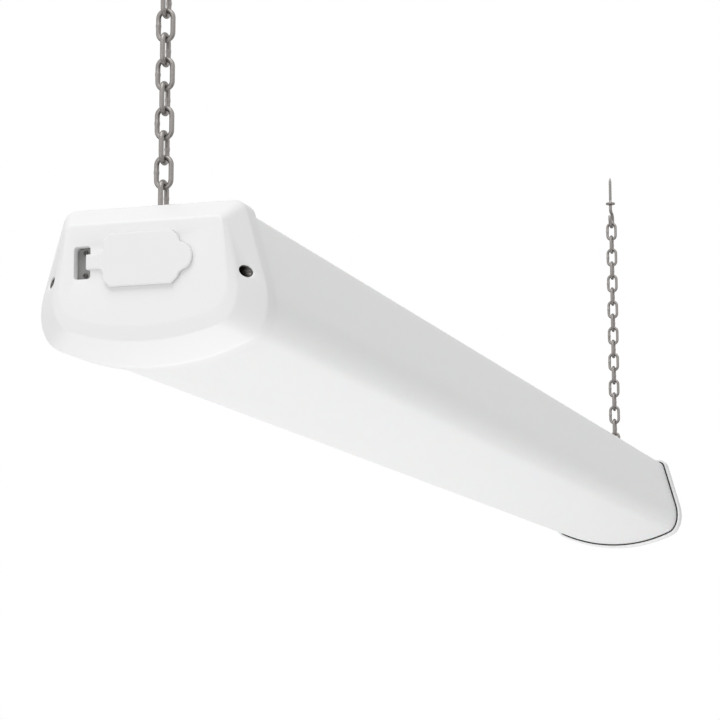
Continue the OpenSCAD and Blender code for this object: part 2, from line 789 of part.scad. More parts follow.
module driver_capacitors() {
    z = pcb_z - can_d / 2 - can_rise;
    color("#2E3A57") in_driver() {
        for (s = [-1, 1]) rod_x([input_can[0], s * (can_d / 2 + 5), z], can_d, input_can[1]);
        rod_x([output_can[0], 0, z], can_d, output_can[1]);
        box([film_box[0], -film_box[2] / 2, pcb_z - film_box[1]],
            [film_box[0] + film_box[1], film_box[2] / 2, pcb_z]);
    }
}

terminal_x = pcb_l / 2 - 11;
terminal = [8, 16, 8];
terminal_gap = 6;
lead_gap = 0.2;
module driver_terminals() {
    color("#3F7F4F") in_driver() for (e = [-1, 1]) difference() {
        box([e * terminal_x - terminal.x / 2, -terminal.y / 2, pcb_z - terminal.z],
            [e * terminal_x + terminal.x / 2, terminal.y / 2, pcb_z]);
        for (s = [-1, 1])
            rod_x([e * terminal_x + (e > 0 ? 0 : -terminal.x), s * terminal_gap / 2, lead_z],
                  lead_d + 2 * lead_gap, terminal.x);
    }
}

module driver_screws() {
    color(zinc) in_driver() for (e = [-1, 1])
        translate([e * driver_screw_x, 0, plate_under_z - driver_wall]) mirror([0, 0, 1])
            screw(screw_d, driver_wall + sheet_t, head_d, head_t);
}

// ---------- link socket and supply inlet ----------

nose_w = mouth_w - 2 * fit_gap;
nose_h = mouth_h - 2 * fit_gap;
flange_t = 2.5;
flange_w = mouth_w + 13;
flange_h = mouth_h + 5;
flange_screw_y = mouth_w / 2 + 3.6;
body_w = 26;
body_h = 15;
body_back = web_in + bracket_t + 11.8;
blade_y = 6.35;
earth_z = 4.2;
tail_l = 5;
tail_d = 2.2;
slot_depth = 17;        // of the socket's slots, behind its face
slot_w = 2;
earth_bore = 4.8;
spring_l = 9;           // springs at the back of the slots
spring_t = 0.5;
pin_d = 3.5;
pin_places = [[blade_y, -2], [-blade_y, -2], [0, earth_z]];

module insulator(face_in) {
    translate([0, socket_y, socket_z]) {
        run(face_in, web_in - flange_t) round_rect(nose_w, nose_h, 1.6);
        run(web_in - flange_t, web_in) round_rect(flange_w, flange_h, 3);
        run(web_in, body_back) square([body_w, body_h], center = true);
    }
}

module insulator_screw_holes() {
    for (s = [-1, 1])
        rod_x([0, socket_y + s * flange_screw_y, socket_z], screw_d + 2 * screw_gap, web_in + 1);
}

slot_low = -5.5;
slot_high = 1.5;
slot_back = socket_recess + slot_depth;

// Female outlet with two flat slots and a round earth hole
module link_socket() {
    color(grey_plastic) hung() at_end("near") difference() {
        insulator(socket_recess);
        insulator_screw_holes();
        translate([0, socket_y, socket_z]) {
            for (s = [-1, 1])
                box([0, s * blade_y - slot_w / 2, slot_low],
                    [slot_back, s * blade_y + slot_w / 2, slot_high]);
            rod_x([0, 0, earth_z], earth_bore, slot_back);
            for (p = pin_places) rod_x([socket_recess, p.x, p.y], tail_d + 4 * screw_gap, body_back);
        }
    }
}

// Spring contacts at the back of the slots, with round tails for the wires
module socket_contacts() {
    front = slot_back - spring_l;
    low = slot_low + spring_t;
    high = slot_high - spring_t;
    reach = slot_w / 2 - screw_gap;
    color(brass) hung() at_end("near") translate([0, socket_y, socket_z]) {
        for (p = pin_places)
            rod_x([slot_back - spring_t, p.x, p.y], tail_d, body_back - slot_back + spring_t + tail_l);
        for (s = [-1, 1]) {
            for (y = [-reach, reach - spring_t])
                box([front, s * blade_y + y, low], [slot_back - spring_t, s * blade_y + y + spring_t, high]);
            box([slot_back - spring_t, s * blade_y - reach, low], [slot_back, s * blade_y + reach, high]);
        }
        translate([front, 0, earth_z]) rotate([0, 90, 0]) difference() {
            cylinder(d = earth_bore - 2 * screw_gap, h = spring_l);
            translate([0, 0, -1]) cylinder(d = earth_bore - 2 * screw_gap - 2 * spring_t, h = spring_l);
        }
    }
}

module flange_screws(end) {
    color(zinc) hung() at_end(end) for (s = [-1, 1])
        translate([web_in - flange_t, socket_y + s * flange_screw_y, socket_z]) rotate([0, -90, 0])
            screw(screw_d, flange_t + bracket_t + 3, head_d, head_t);
}
module socket_screws() { flange_screws("near"); }
module inlet_screws() { flange_screws("far"); }

// Male inlet: a deep well with three pins that end inside it
inlet_face = 0.5;
inlet_well = 12.5;
module supply_inlet() {
    color("#2F2F2F") hung() at_end("far") difference() {
        insulator(inlet_face);
        insulator_screw_holes();
        translate([0, socket_y, socket_z]) {
            run(0, inlet_face + inlet_well) round_rect(nose_w - 4, nose_h - 3.4, 1.6);
            for (p = pin_places) rod_x([inlet_well - 1, p.x, p.y], pin_d + 2 * screw_gap, body_back);
        }
    }
}

pin_tip = 5;            // behind the front face
module inlet_pins() {
    color(brass) hung() at_end("far") translate([0, socket_y, socket_z]) for (p = pin_places) {
        rod_x([pin_tip + 1, p.x, p.y], pin_d, body_back - pin_tip - 1);
        translate([pin_tip, p.x, p.y]) rotate([0, 90, 0]) cylinder(d1 = pin_d / 2, d2 = pin_d, h = 1);
        rod_x([body_back, p.x, p.y], tail_d, tail_l);
    }
}

// ---------- socket cover ----------

// Flat outline of the cover, from its own middle
module cover_outline() {
    x = cover_w / 2;
    y = cover_h / 2;
    c = cover_chamfer;
    polygon([[x - c, y], [x, y - c], [x, c - y], [x - c, -y],
             [c - x, -y], [-x, c - y], [-x, y - c], [c - x, y]]);
    translate([-x, strap_z - socket_z]) circle(tongue_r);
}

module socket_cover() {
    plug = 1.2;
    root = 2.2;
    color(white_plastic) hung() at_end("near") {
        translate([0, socket_y, socket_z]) {
            run(cover_face - cover_t, cover_face) cover_outline();
            run(cover_face, cover_face + plug)
                round_rect(mouth_w - 2 * fit_gap - 0.4, mouth_h - 2 * fit_gap - 0.4, 2);
        }
        translate([0, 0, strap_z]) {
            box([cover_face - strap_t, cover_edge - 1, -strap_w / 2], [cover_face, hinge_y, strap_w / 2]);
            rod_z([strap_mid, hinge_y, -strap_w / 2], strap_t, strap_w);
            run(cover_face - strap_t, cover_face)
                polygon([[cover_edge - 0.5, strap_w / 2 + root], [cover_edge + root, strap_w / 2],
                         [cover_edge + root, -strap_w / 2], [cover_edge - 0.5, -strap_w / 2 - root]]);
        }
    }
}

// Fixed end of the strap: over the rim of the window, down to the clamp and under it
module cover_tail() {
    y0 = tail_start;
    y1 = window_edge + 0.15;
    y2 = y1 + strap_t;
    y3 = window_y + window_w / 2 - 1.5;
    x0 = cover_face;
    x1 = clamp_recess + clamp_t + 0.2;
    color(white_plastic) hung() at_end("near") translate([0, 0, strap_z - strap_w / 2])
        linear_extrude(strap_w)
            polygon([[x0, y0], [x0, y1], [x1 + strap_t, y1], [x1 + strap_t, y3], [x1, y3], [x1, y2],
                     [x0 - strap_t + 0.6, y2], [x0 - strap_t, y2 - 0.6], [x0 - strap_t, y0 + 0.7],
                     [x0 - strap_t + 0.7, y0]]);
}

// Grey plate that traps the strap in the window
module cover_clamp() {
    low_y = window_edge + 0.15 + strap_t + 0.2;
    high_y = window_y + window_w / 2 - 0.3;
    ear_y = window_edge + 0.3;
    h = window_h / 2 - 0.3;
    notch = strap_w / 2 + 0.25;
    color(grey_plastic) hung() at_end("near") difference() {
        translate([0, 0, strap_z]) run(clamp_recess, clamp_recess + clamp_t)
            polygon([[ear_y, h - 1], [ear_y + 1, h], [high_y - 1, h], [high_y, h - 1],
                     [high_y, 1 - h], [high_y - 1, -h], [ear_y + 1, -h], [ear_y, 1 - h],
                     [ear_y, -notch], [low_y, -notch], [low_y, notch], [ear_y, notch]]);
        for (s = [-1, 1])
            rod_x([0, clamp_y, strap_z + s * clamp_screw_gap / 2], small_screw_d + 2 * screw_gap, 20);
    }
}

module clamp_screws() {
    color(dark_steel) hung() at_end("near") for (s = [-1, 1])
        translate([clamp_recess, clamp_y, strap_z + s * clamp_screw_gap / 2]) rotate([0, -90, 0])
            screw(small_screw_d, pocket_depth - clamp_recess + 1.8, small_head_d, small_head_t);
}

// ---------- wires ----------

tail_x = half_l - body_back - tail_l;    // end of a contact tail, from the middle
run_z = -14;                             // live and earth
low_run_z = run_z - 3;                   // neutral
rise = 20;
straight_steps = 5;

// From a socket contact, up into the housing, along it and down to the pin at the same place
function through(p, y, z) =
    let (a = [-tail_x, socket_y + p.x, socket_z + p.y], b = [tail_x, socket_y + p.x, socket_z + p.y])
    [a, a + [3, 0, 0], [-tail_x + rise / 2, (a.y + y) / 2, (a.z + z) / 2], [-tail_x + rise, y, z],
     for (i = [-straight_steps:straight_steps]) [i / straight_steps * (tail_x - 1.5 * rise), y, z],
     [tail_x - rise, y, z], [tail_x - rise / 2, (b.y + y) / 2, (b.z + z) / 2], b - [3, 0, 0], b];

wire_y = lip_gap / 2 - 6;
module live_wire() { color("#1D1D1D") hung() tube(through(pin_places[0], wire_y, run_z), mains_d); }
module neutral_wire() { color("#E8E8E8") hung() tube(through(pin_places[1], -wire_y, low_run_z), mains_d); }
module earth_wire() { color("#2E8B47") hung() tube(through(pin_places[2], -wire_y, run_z), mains_d); }

// From a splice on the through wires to the input terminals
splice_x = driver_x + driver_l / 2 + 60;
module driver_supply_leads() {
    inner = driver_x + terminal_x + 0.5;
    edge = driver_x + driver_l / 2;
    color("#1D1D1D") hung() for (s = [-1, 1]) {
        z = s > 0 ? run_z : low_run_z;
        tube([[splice_x + 8, s * (wire_y - 2.6), z], [splice_x, s * (wire_y - 2.6), z],
              [splice_x - 20, s * (wire_y - 8), z], [edge + 26, s * 6, lead_z],
              [edge + 6, s * 1.2, lead_z], [edge - 3, s * 1.2, lead_z],
              [inner + 3.6, s * 3, lead_z], [inner, s * 3, lead_z]], lead_d);
    }
}

// From the output terminals through the tray to the LED boards
lead_hole_x = driver_x - driver_l / 2 - 40;
lead_hole_y = board_y - board_w / 2 - 3;
module led_leads() {
    outer = driver_x - terminal_x - 0.5;
    color("#C23B2E") hung() for (s = [-1, 1])
        tube([[outer, s * 3, lead_z], [outer - 3.6, s * 3, lead_z],
              [driver_x - driver_l / 2 + 3, s * 1.2, lead_z], [driver_x - driver_l / 2 - 6, s * 1.2, lead_z],
              [lead_hole_x + 14, s * 5, lead_z - 2],
              [lead_hole_x + 3, s * (lead_hole_y - 0.4), tray_top_z + 3],
              [lead_hole_x, s * lead_hole_y, tray_z],
              [lead_hole_x - 3, s * (lead_hole_y + 0.6), board_under_z - 0.6],
              [lead_hole_x - 6, s * (board_y - board_w / 2 + 1.6), board_under_z - lead_d / 2 - 0.25],
              [lead_hole_x - 9, s * (board_y - board_w / 2 + 2), board_under_z - lead_d / 2 - 0.25]], lead_d);
}

earth_x = -chain_x + 40;
lug_t = 0.8;
lug_d = 7;
module earth_screw() {
    color(brass) hung() translate([earth_x, 0, plate_under_z - lug_t]) mirror([0, 0, 1])
        screw(screw_d, lug_t + sheet_t, head_d, head_t);
}

// Ring under the earth screw, with its lead to the earth wire
module earth_lead() {
    color("#2E8B47") hung() {
        difference() {
            rod_z([earth_x, 0, plate_under_z - lug_t], lug_d, lug_t);
            rod_z([earth_x, 0, plate_under_z - 2 * lug_t], screw_d + 2 * screw_gap, 4 * lug_t);
        }
        tube([[earth_x + 2.9, -1.2, plate_under_z - lead_d / 2], [earth_x + 9, -4, plate_under_z - 3],
              [earth_x + 16, -14, run_z + 5], [earth_x + 26, -wire_y + 4, run_z + 1],
              [earth_x + 34, -wire_y + 2.2, run_z]], lead_d);
    }
}

// Clips that hold the wires up to the plate
clip_shift = 30;
clip_half_l = 4;
clip_half_w = mains_d / 2 + 2;
clip_depth = 6;
clip_places = [for (k = [-1:1]) k * clip_step - clip_shift];
module wire_clips() {
    color("#E4E4E0") hung() for (x = clip_places, s = [-1, 1])
        difference() {
            box([x - clip_half_l, s * wire_y - clip_half_w, run_z - clip_depth],
                [x + clip_half_l, s * wire_y + clip_half_w, plate_under_z]);
            for (z = s > 0 ? [run_z] : [run_z, low_run_z])
                rod_x([x - clip_half_l - 1, s * wire_y, z], mains_d + 4 * screw_gap, 2 * clip_half_l + 2);
        }
}

// ---------- assembly ----------

for (e = ends) {
    ceiling_hook(e);
    chain_top_link(e);
    chain_links(e);
    hanger(e);
    hanger_nuts(e);
    end_cap(e);
    gasket(e);
    end_bracket(e);
    cap_screws(e);
    screw_sleeves(e);
}
housing();
lens();
led_tray();
tray_screws();
led_board(1);  // led_board_left
led_board(-1);  // led_board_right
leds(1);  // leds_left
leds(-1);  // leds_right
board_screws();
driver_case();
driver_lid();
driver_board();
driver_transformer();
driver_choke();
driver_capacitors();
driver_terminals();
driver_screws();
link_socket();
socket_contacts();
socket_screws();
supply_inlet();
inlet_pins();
inlet_screws();
socket_cover();
cover_tail();
cover_clamp();
clamp_screws();
live_wire();
neutral_wire();
earth_wire();
driver_supply_leads();
led_leads();
earth_lead();
earth_screw();
wire_clips();
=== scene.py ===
"""Hanging shop light: an LED batten in an opal wrap with two moulded end caps, on two link chains.

Each sub-assembly is a class. Its fields are real sizes in millimetres, and its methods build the
meshes and dress them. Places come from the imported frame, through Site and EndFrame.
"""

from __future__ import annotations

import json
import logging
import math
from collections.abc import Callable, Iterator, Sequence
from contextlib import contextmanager
from dataclasses import dataclass, field
from enum import Enum

import bmesh
import bpy
from bpy.types import Material, Node, NodeSocket, NodeTree, Object
from mathutils import Matrix, Vector
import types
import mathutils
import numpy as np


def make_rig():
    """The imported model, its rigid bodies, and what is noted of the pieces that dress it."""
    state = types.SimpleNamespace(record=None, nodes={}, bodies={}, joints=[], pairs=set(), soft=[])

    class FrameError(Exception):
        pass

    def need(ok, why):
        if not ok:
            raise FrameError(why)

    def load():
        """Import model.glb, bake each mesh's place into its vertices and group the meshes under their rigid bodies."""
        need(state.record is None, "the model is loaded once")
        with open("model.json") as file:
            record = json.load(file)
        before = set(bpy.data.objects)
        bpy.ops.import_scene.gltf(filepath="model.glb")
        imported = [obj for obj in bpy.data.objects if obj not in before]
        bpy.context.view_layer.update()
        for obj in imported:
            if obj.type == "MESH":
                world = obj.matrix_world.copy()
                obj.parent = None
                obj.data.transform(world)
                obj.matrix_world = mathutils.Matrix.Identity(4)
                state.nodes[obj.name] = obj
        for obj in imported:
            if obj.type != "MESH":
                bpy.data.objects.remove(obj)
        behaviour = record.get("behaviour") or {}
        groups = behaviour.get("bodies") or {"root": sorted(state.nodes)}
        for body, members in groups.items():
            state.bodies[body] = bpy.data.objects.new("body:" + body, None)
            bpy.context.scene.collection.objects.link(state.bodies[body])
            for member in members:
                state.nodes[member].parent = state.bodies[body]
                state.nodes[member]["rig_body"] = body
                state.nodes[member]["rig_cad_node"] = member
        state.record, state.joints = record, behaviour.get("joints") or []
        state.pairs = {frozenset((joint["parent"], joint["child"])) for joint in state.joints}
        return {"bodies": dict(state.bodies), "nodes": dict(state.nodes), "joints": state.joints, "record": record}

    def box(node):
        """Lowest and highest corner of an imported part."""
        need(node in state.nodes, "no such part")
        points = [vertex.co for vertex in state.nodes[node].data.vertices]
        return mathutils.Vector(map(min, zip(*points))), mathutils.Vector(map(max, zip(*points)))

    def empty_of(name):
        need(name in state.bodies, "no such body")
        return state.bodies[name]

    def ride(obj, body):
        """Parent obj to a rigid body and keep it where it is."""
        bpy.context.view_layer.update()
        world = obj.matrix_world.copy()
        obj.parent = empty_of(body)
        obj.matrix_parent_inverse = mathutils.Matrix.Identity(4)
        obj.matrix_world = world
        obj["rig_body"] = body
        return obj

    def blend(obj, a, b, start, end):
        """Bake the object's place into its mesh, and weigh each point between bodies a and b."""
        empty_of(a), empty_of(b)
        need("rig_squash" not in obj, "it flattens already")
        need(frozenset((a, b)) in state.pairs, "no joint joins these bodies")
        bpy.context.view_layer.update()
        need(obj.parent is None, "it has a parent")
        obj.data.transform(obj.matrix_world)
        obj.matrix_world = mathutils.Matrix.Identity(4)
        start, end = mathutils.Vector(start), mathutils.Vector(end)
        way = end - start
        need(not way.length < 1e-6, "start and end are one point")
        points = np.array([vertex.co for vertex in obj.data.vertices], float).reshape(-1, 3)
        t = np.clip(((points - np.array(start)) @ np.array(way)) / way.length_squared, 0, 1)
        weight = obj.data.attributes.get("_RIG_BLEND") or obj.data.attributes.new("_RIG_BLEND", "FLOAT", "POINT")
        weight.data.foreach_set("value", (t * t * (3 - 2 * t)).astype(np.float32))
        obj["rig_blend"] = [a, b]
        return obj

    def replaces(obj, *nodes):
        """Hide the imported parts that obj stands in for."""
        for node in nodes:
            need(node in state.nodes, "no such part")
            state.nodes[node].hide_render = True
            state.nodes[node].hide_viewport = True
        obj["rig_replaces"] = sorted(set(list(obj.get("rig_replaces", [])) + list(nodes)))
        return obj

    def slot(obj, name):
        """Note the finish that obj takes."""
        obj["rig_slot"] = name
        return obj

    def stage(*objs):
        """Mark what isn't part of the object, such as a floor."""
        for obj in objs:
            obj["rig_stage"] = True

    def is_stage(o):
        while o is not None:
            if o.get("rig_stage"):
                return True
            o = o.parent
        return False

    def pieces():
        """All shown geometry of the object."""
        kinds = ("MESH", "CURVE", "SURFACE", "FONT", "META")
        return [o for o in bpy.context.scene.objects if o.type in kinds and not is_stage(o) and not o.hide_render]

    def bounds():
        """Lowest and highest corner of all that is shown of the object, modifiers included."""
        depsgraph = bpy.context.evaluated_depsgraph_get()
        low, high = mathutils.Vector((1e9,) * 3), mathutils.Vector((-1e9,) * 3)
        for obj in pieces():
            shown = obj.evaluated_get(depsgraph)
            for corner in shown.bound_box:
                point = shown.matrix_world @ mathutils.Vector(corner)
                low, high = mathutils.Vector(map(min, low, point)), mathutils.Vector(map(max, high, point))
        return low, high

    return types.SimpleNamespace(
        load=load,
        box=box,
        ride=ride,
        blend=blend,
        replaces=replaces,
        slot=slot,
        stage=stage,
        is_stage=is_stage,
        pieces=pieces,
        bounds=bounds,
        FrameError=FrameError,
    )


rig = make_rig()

MM = 0.001
SIDES = (-1, 1)
# Points closer than this, in mm, become one: in a shape as built, a finished one and a wire
MERGE_BUILT, MERGE_FINISHED, MERGE_WIRE = 0.0005, 0.001, 0.01
# How far in mm a cutter starts outside a face, and a joined block inside it
CUT_FROM, JOIN_FROM = -2.0, 1.0
SIZE_FILE = "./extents.json"
Pair = tuple[float, float]
Triple = tuple[float, float, float]

log = logging.getLogger("shop_light")


# ---- bench work


def deselect() -> None:
    """Leaves edit mode and selects nothing."""
    active = bpy.context.view_layer.objects.active
    if active is not None and active.mode != "OBJECT":
        bpy.ops.object.mode_set(mode="OBJECT")
    bpy.ops.object.select_all(action="DESELECT")


def activate(obj: Object) -> None:
    """Makes obj the only selected object, and the active one."""
    deselect()
    obj.select_set(True)
    bpy.context.view_layer.objects.active = obj


@contextmanager
def editing(obj: Object) -> Iterator[None]:
    """Holds obj in edit mode, with all of it selected at the start.

    Args:
        obj: the mesh to work on.
    """
    activate(obj)
    bpy.ops.object.mode_set(mode="EDIT")
    bpy.ops.mesh.select_all(action="SELECT")
    yield
    bpy.ops.object.mode_set(mode="OBJECT")


def settle() -> Object:
    """Writes the active object's place into its mesh and returns it."""
    bpy.ops.object.transform_apply(location=True, rotation=True, scale=True)
    return bpy.context.view_layer.objects.active


def modify(obj: Object, kind: str, **settings: object) -> None:
    """Adds one modifier and applies it.

    Args:
        obj: the mesh to change.
        kind: the modifier's type.
        settings: the modifier's own settings.
    """
    activate(obj)
    bpy.ops.object.modifier_add(type=kind)
    modifier = obj.modifiers[-1]
    for name, value in settings.items():
        setattr(modifier, name, value)
    bpy.ops.object.modifier_apply(modifier=modifier.name)


def combine(obj: Object, tool: Object, operation: str) -> Object:
    """Applies a boolean and deletes the tool.

    Args:
        obj: the mesh that stays.
        tool: the mesh that cuts or joins it.
        operation: UNION, DIFFERENCE or INTERSECT.

    Returns:
        The same object.
    """
    modify(obj, "BOOLEAN", object=tool, operation=operation, solver="EXACT")
    bpy.data.objects.remove(tool)
    return obj


def join(name: str, parts: Sequence[Object]) -> Object:
    """Joins parts into one object of that name and returns it."""
    activate(parts[0])
    for part in parts:
        part.select_set(True)
    if len(parts) > 1:
        bpy.ops.object.join()
    parts[0].name = name
    return parts[0]


def twin(obj: Object, change: Matrix | None = None) -> Object:
    """Copies obj with a mesh of its own.

    Args:
        obj: the object to copy.
        change: a matrix for the copy's mesh.

    Returns:
        The copy.
    """
    copy = bpy.data.objects.new(obj.name + "_copy", obj.data.copy())
    bpy.context.scene.collection.objects.link(copy)
    if change is not None:
        copy.data.transform(change)
    return copy


def pick_edges(obj: Object, wanted: Callable[[bmesh.types.BMEdge], bool]) -> None:
    """Selects in edit mode the edges that the test accepts, and no others."""
    bpy.ops.mesh.select_mode(type="EDGE")
    bpy.ops.mesh.select_all(action="DESELECT")
    work = bmesh.from_edit_mesh(obj.data)
    for edge in work.edges:
        if wanted(edge):
            edge.select_set(True)
    bmesh.update_edit_mesh(obj.data)


def finish_mesh(obj: Object, angle: float = 35.0) -> Object:
    """Merges doubles, turns the faces outwards and smooths the shading across soft edges.

    Args:
        obj: the mesh to finish.
        angle: edges sharper than this many degrees stay crisp.

    Returns:
        The same object.
    """
    with editing(obj):
        bpy.ops.mesh.remove_doubles(threshold=MERGE_FINISHED * MM)
        bpy.ops.mesh.normals_make_consistent(inside=False)
    bpy.ops.object.shade_smooth_by_angle(angle=math.radians(angle))
    return obj


def rounded_block(a: Vector, b: Vector, radius: float, axis: int = 0) -> Object:
    """Box between two corners, with the edges along one axis rounded.

    Args:
        a: one corner in metres.
        b: the corner opposite.
        radius: corner radius in mm.
        axis: the axis along which the rounded edges run.

    Returns:
        The box.
    """
    low, high = Vector(map(min, a, b)), Vector(map(max, a, b))
    deselect()
    bpy.ops.mesh.primitive_cube_add(size=1, location=(low + high) / 2)
    obj = bpy.context.object
    obj.scale = high - low
    settle()
    with editing(obj):
        pick_edges(obj, lambda e: abs((e.verts[0].co - e.verts[1].co).normalized()[axis]) > 0.99)
        bpy.ops.mesh.bevel(offset=radius * MM, segments=6, affect="EDGES")
    return obj


def rod(start: Vector, end: Vector, diameter: float) -> Object:
    """Straight rod.

    Args:
        start: middle of one end, in metres.
        end: middle of the other end.
        diameter: in mm.

    Returns:
        The rod.
    """
    deselect()
    way = end - start
    bpy.ops.mesh.primitive_cylinder_add(
        vertices=40, radius=diameter * MM / 2, depth=way.length,
        location=(start + end) / 2, rotation=way.to_track_quat("Z", "Y").to_euler(),
    )
    return settle()


def loft(name: str, rings: Sequence[Sequence[Vector]]) -> Object:
    """Extrudes a circle ring by ring and sets each ring on its points.

    Args:
        name: the object's name.
        rings: points in metres, as many in each ring.

    Returns:
        The lofted shape, with a face at both ends.
    """
    deselect()
    bpy.ops.mesh.primitive_circle_add(vertices=len(rings[0]), radius=1.0)
    obj = bpy.context.object
    obj.name = name
    with editing(obj):
        work = bmesh.from_edit_mesh(obj.data)
        station = work.verts.layers.int.new("station")
        for i, vert in enumerate(work.verts):
            vert[station] = i
            vert.co = rings[0][i]
        bmesh.update_edit_mesh(obj.data)
        for ring in rings[1:]:
            bpy.ops.mesh.extrude_region_move()
            work = bmesh.from_edit_mesh(obj.data)
            station = work.verts.layers.int["station"]
            for vert in work.verts:
                if vert.select:
                    vert.co = ring[vert[station]]
            bmesh.update_edit_mesh(obj.data)
        bpy.ops.mesh.select_all(action="SELECT")
        bpy.ops.mesh.remove_doubles(threshold=MERGE_BUILT * MM)
        bpy.ops.mesh.fill_holes(sides=0)
        bpy.ops.mesh.normals_make_consistent(inside=False)
    obj.data.attributes.remove(obj.data.attributes["station"])
    return obj


def eased(rings: Sequence[Sequence[Vector]], radii: Sequence[float]) -> list[list[Vector]]:
    """Rounds a loft's edges: a ring with a radius gives way to a few along a curve.

    Args:
        rings: points in metres, as many in each ring.
        radii: length in mm that each rounding takes on both sides; 0 keeps an edge.

    Returns:
        The new rings.
    """
    steps = 4
    most = 0.45  # of the way to the next ring
    out: list[list[Vector]] = []
    for i, (ring, radius) in enumerate(zip(rings, radii)):
        if radius <= 0 or i in (0, len(rings) - 1):
            out.append(list(ring))
            continue
        for k in range(steps + 1):
            t = k / steps
            row = []
            for before, point, after in zip(rings[i - 1], ring, rings[i + 1]):
                back, on = before - point, after - point
                reach = min(radius * MM, back.length * most, on.length * most)
                a = point + back.normalized() * reach
                b = point + on.normalized() * reach
                row.append(a * (1 - t) ** 2 + point * (2 * t * (1 - t)) + b * t * t)
            out.append(row)
    return out


class BentWire:
    """Round wire: its straight stretches are extruded and its bends are spun."""

    def __init__(self, name: str, start: Vector, along: Vector, diameter: float) -> None:
        """Lays the first ring.

        Args:
            name: the object's name.
            start: middle of the first ring, in metres.
            along: direction in which the wire sets off.
            diameter: of the wire, in mm.
        """
        deselect()
        bpy.ops.mesh.primitive_circle_add(
            vertices=16, radius=diameter * MM / 2, location=start,
            rotation=along.to_track_quat("Z", "Y").to_euler(),
        )
        self.obj = settle()
        self.obj.name = name
        bpy.ops.object.mode_set(mode="EDIT")
        bpy.ops.mesh.select_all(action="SELECT")

    def straight(self, move: Vector, swell: float = 1.0) -> None:
        """Extrudes the end ring.

        Args:
            move: how far and which way, in metres.
            swell: factor on the wire's thickness at the new ring.
        """
        bpy.ops.mesh.extrude_region_move(TRANSFORM_OT_translate={"value": move})
        if swell != 1.0:
            work = bmesh.from_edit_mesh(self.obj.data)
            ring = [v for v in work.verts if v.select]
            middle = sum((v.co for v in ring), Vector()) / len(ring)
            for vert in ring:
                vert.co = middle + (vert.co - middle) * swell
            bmesh.update_edit_mesh(self.obj.data)

    def bend(self, centre: Vector, axis: Vector, degrees: float, steps: int) -> None:
        """Spins the end ring by the right-hand rule.

        Args:
            centre: a point on the axis of the bend.
            axis: direction of that axis.
            degrees: how far the wire bends.
            steps: pieces of the bend.
        """
        bpy.ops.mesh.spin(steps=steps, angle=-math.radians(degrees), center=centre, axis=axis)

    def done(self) -> Object:
        """Merges a closed wire's ends, or fills an open one's, and returns the object."""
        bpy.ops.mesh.select_all(action="SELECT")
        bpy.ops.mesh.remove_doubles(threshold=MERGE_WIRE * MM)
        bpy.ops.mesh.fill_holes(sides=0)
        bpy.ops.object.mode_set(mode="OBJECT")
        return finish_mesh(self.obj, angle=40)


@dataclass(frozen=True)
class Thread:
    """Rolled thread on an upright shank, as one helical ridge. All sizes are in mm."""

    pitch: float
    crest: float
    root: float
    sunk: float = 0.15
    flank: float = 0.4
    steps: int = 14

    def on(self, foot: Vector, length: float) -> Object:
        """Winds the ridge upwards.

        Args:
            foot: lowest point of the shank's axis, in metres.
            length: threaded length in mm.

        Returns:
            The ridge.
        """
        deselect()
        bpy.ops.mesh.primitive_circle_add(vertices=3, radius=1.0)
        ridge = bpy.context.object
        foot_r = self.root / 2 - self.sunk
        corners = ((foot_r, -self.flank), (self.crest / 2, 0.0), (foot_r, self.flank))
        for vert, (r, z) in zip(ridge.data.vertices, corners):
            vert.co = Vector((r, 0, z * self.pitch)) * MM
        turns = (length - self.pitch) / self.pitch
        steps = int(self.steps * turns)
        modify(ridge, "SCREW", angle=turns * math.tau, screw_offset=turns * self.pitch * MM,
               steps=steps, render_steps=steps, axis="Z")
        with editing(ridge):
            bpy.ops.mesh.fill_holes(sides=3)
        ridge.location = foot + Vector((0, 0, self.pitch * MM / 2))
        activate(ridge)
        return finish_mesh(settle(), angle=25)


# ---- finishes


def linear(code: str) -> tuple[float, float, float, float]:
    """Turns an sRGB hex value into linear red, green, blue and alpha."""
    channels = [int(code[i:i + 2], 16) / 255 for i in (1, 3, 5)]
    plain = [c / 12.92 if c <= 0.04045 else ((c + 0.055) / 1.055) ** 2.4 for c in channels]
    return (*plain, 1.0)


def new_material(name: str) -> tuple[Material, NodeTree, Node]:
    """Makes a material, and returns it with its nodes and its shader."""
    made = bpy.data.materials.new(name)
    made.use_nodes = True
    tree = made.node_tree
    return made, tree, next(n for n in tree.nodes if n.type == "BSDF_PRINCIPLED")


def add(tree: NodeTree, kind: str, inputs: dict[str, object] | None = None,
        **settings: object) -> Node:
    """Adds one node with its settings and links.

    Args:
        tree: the material's or world's nodes.
        kind: the node's type, without ShaderNode at its start.
        inputs: socket name to a value, or to the output socket that feeds it.
        settings: the node's own settings.

    Returns:
        The node.
    """
    node = tree.nodes.new("ShaderNode" + kind)
    for name, value in settings.items():
        setattr(node, name, value)
    for name, value in (inputs or {}).items():
        socket = node.inputs[int(name)] if name.isdigit() else node.inputs[name]
        if isinstance(value, NodeSocket):
            tree.links.new(value, socket)
        else:
            socket.default_value = value
    return node


class Surface(Enum):
    """How a surface was made, which sets its pattern."""

    SPARKED = "fine even grain of a sparked mould"
    EXTRUDED = "faint die lines along X"
    PLATED = "cloudy zinc crystals"
    POWDERED = "orange peel of a baked powder coat"
    DULLED = "dull skin of moulded rubber"
    WOUND = "turns of wire or tape, side by side along X"
    POLISHED = "smooth, with faint handling marks"


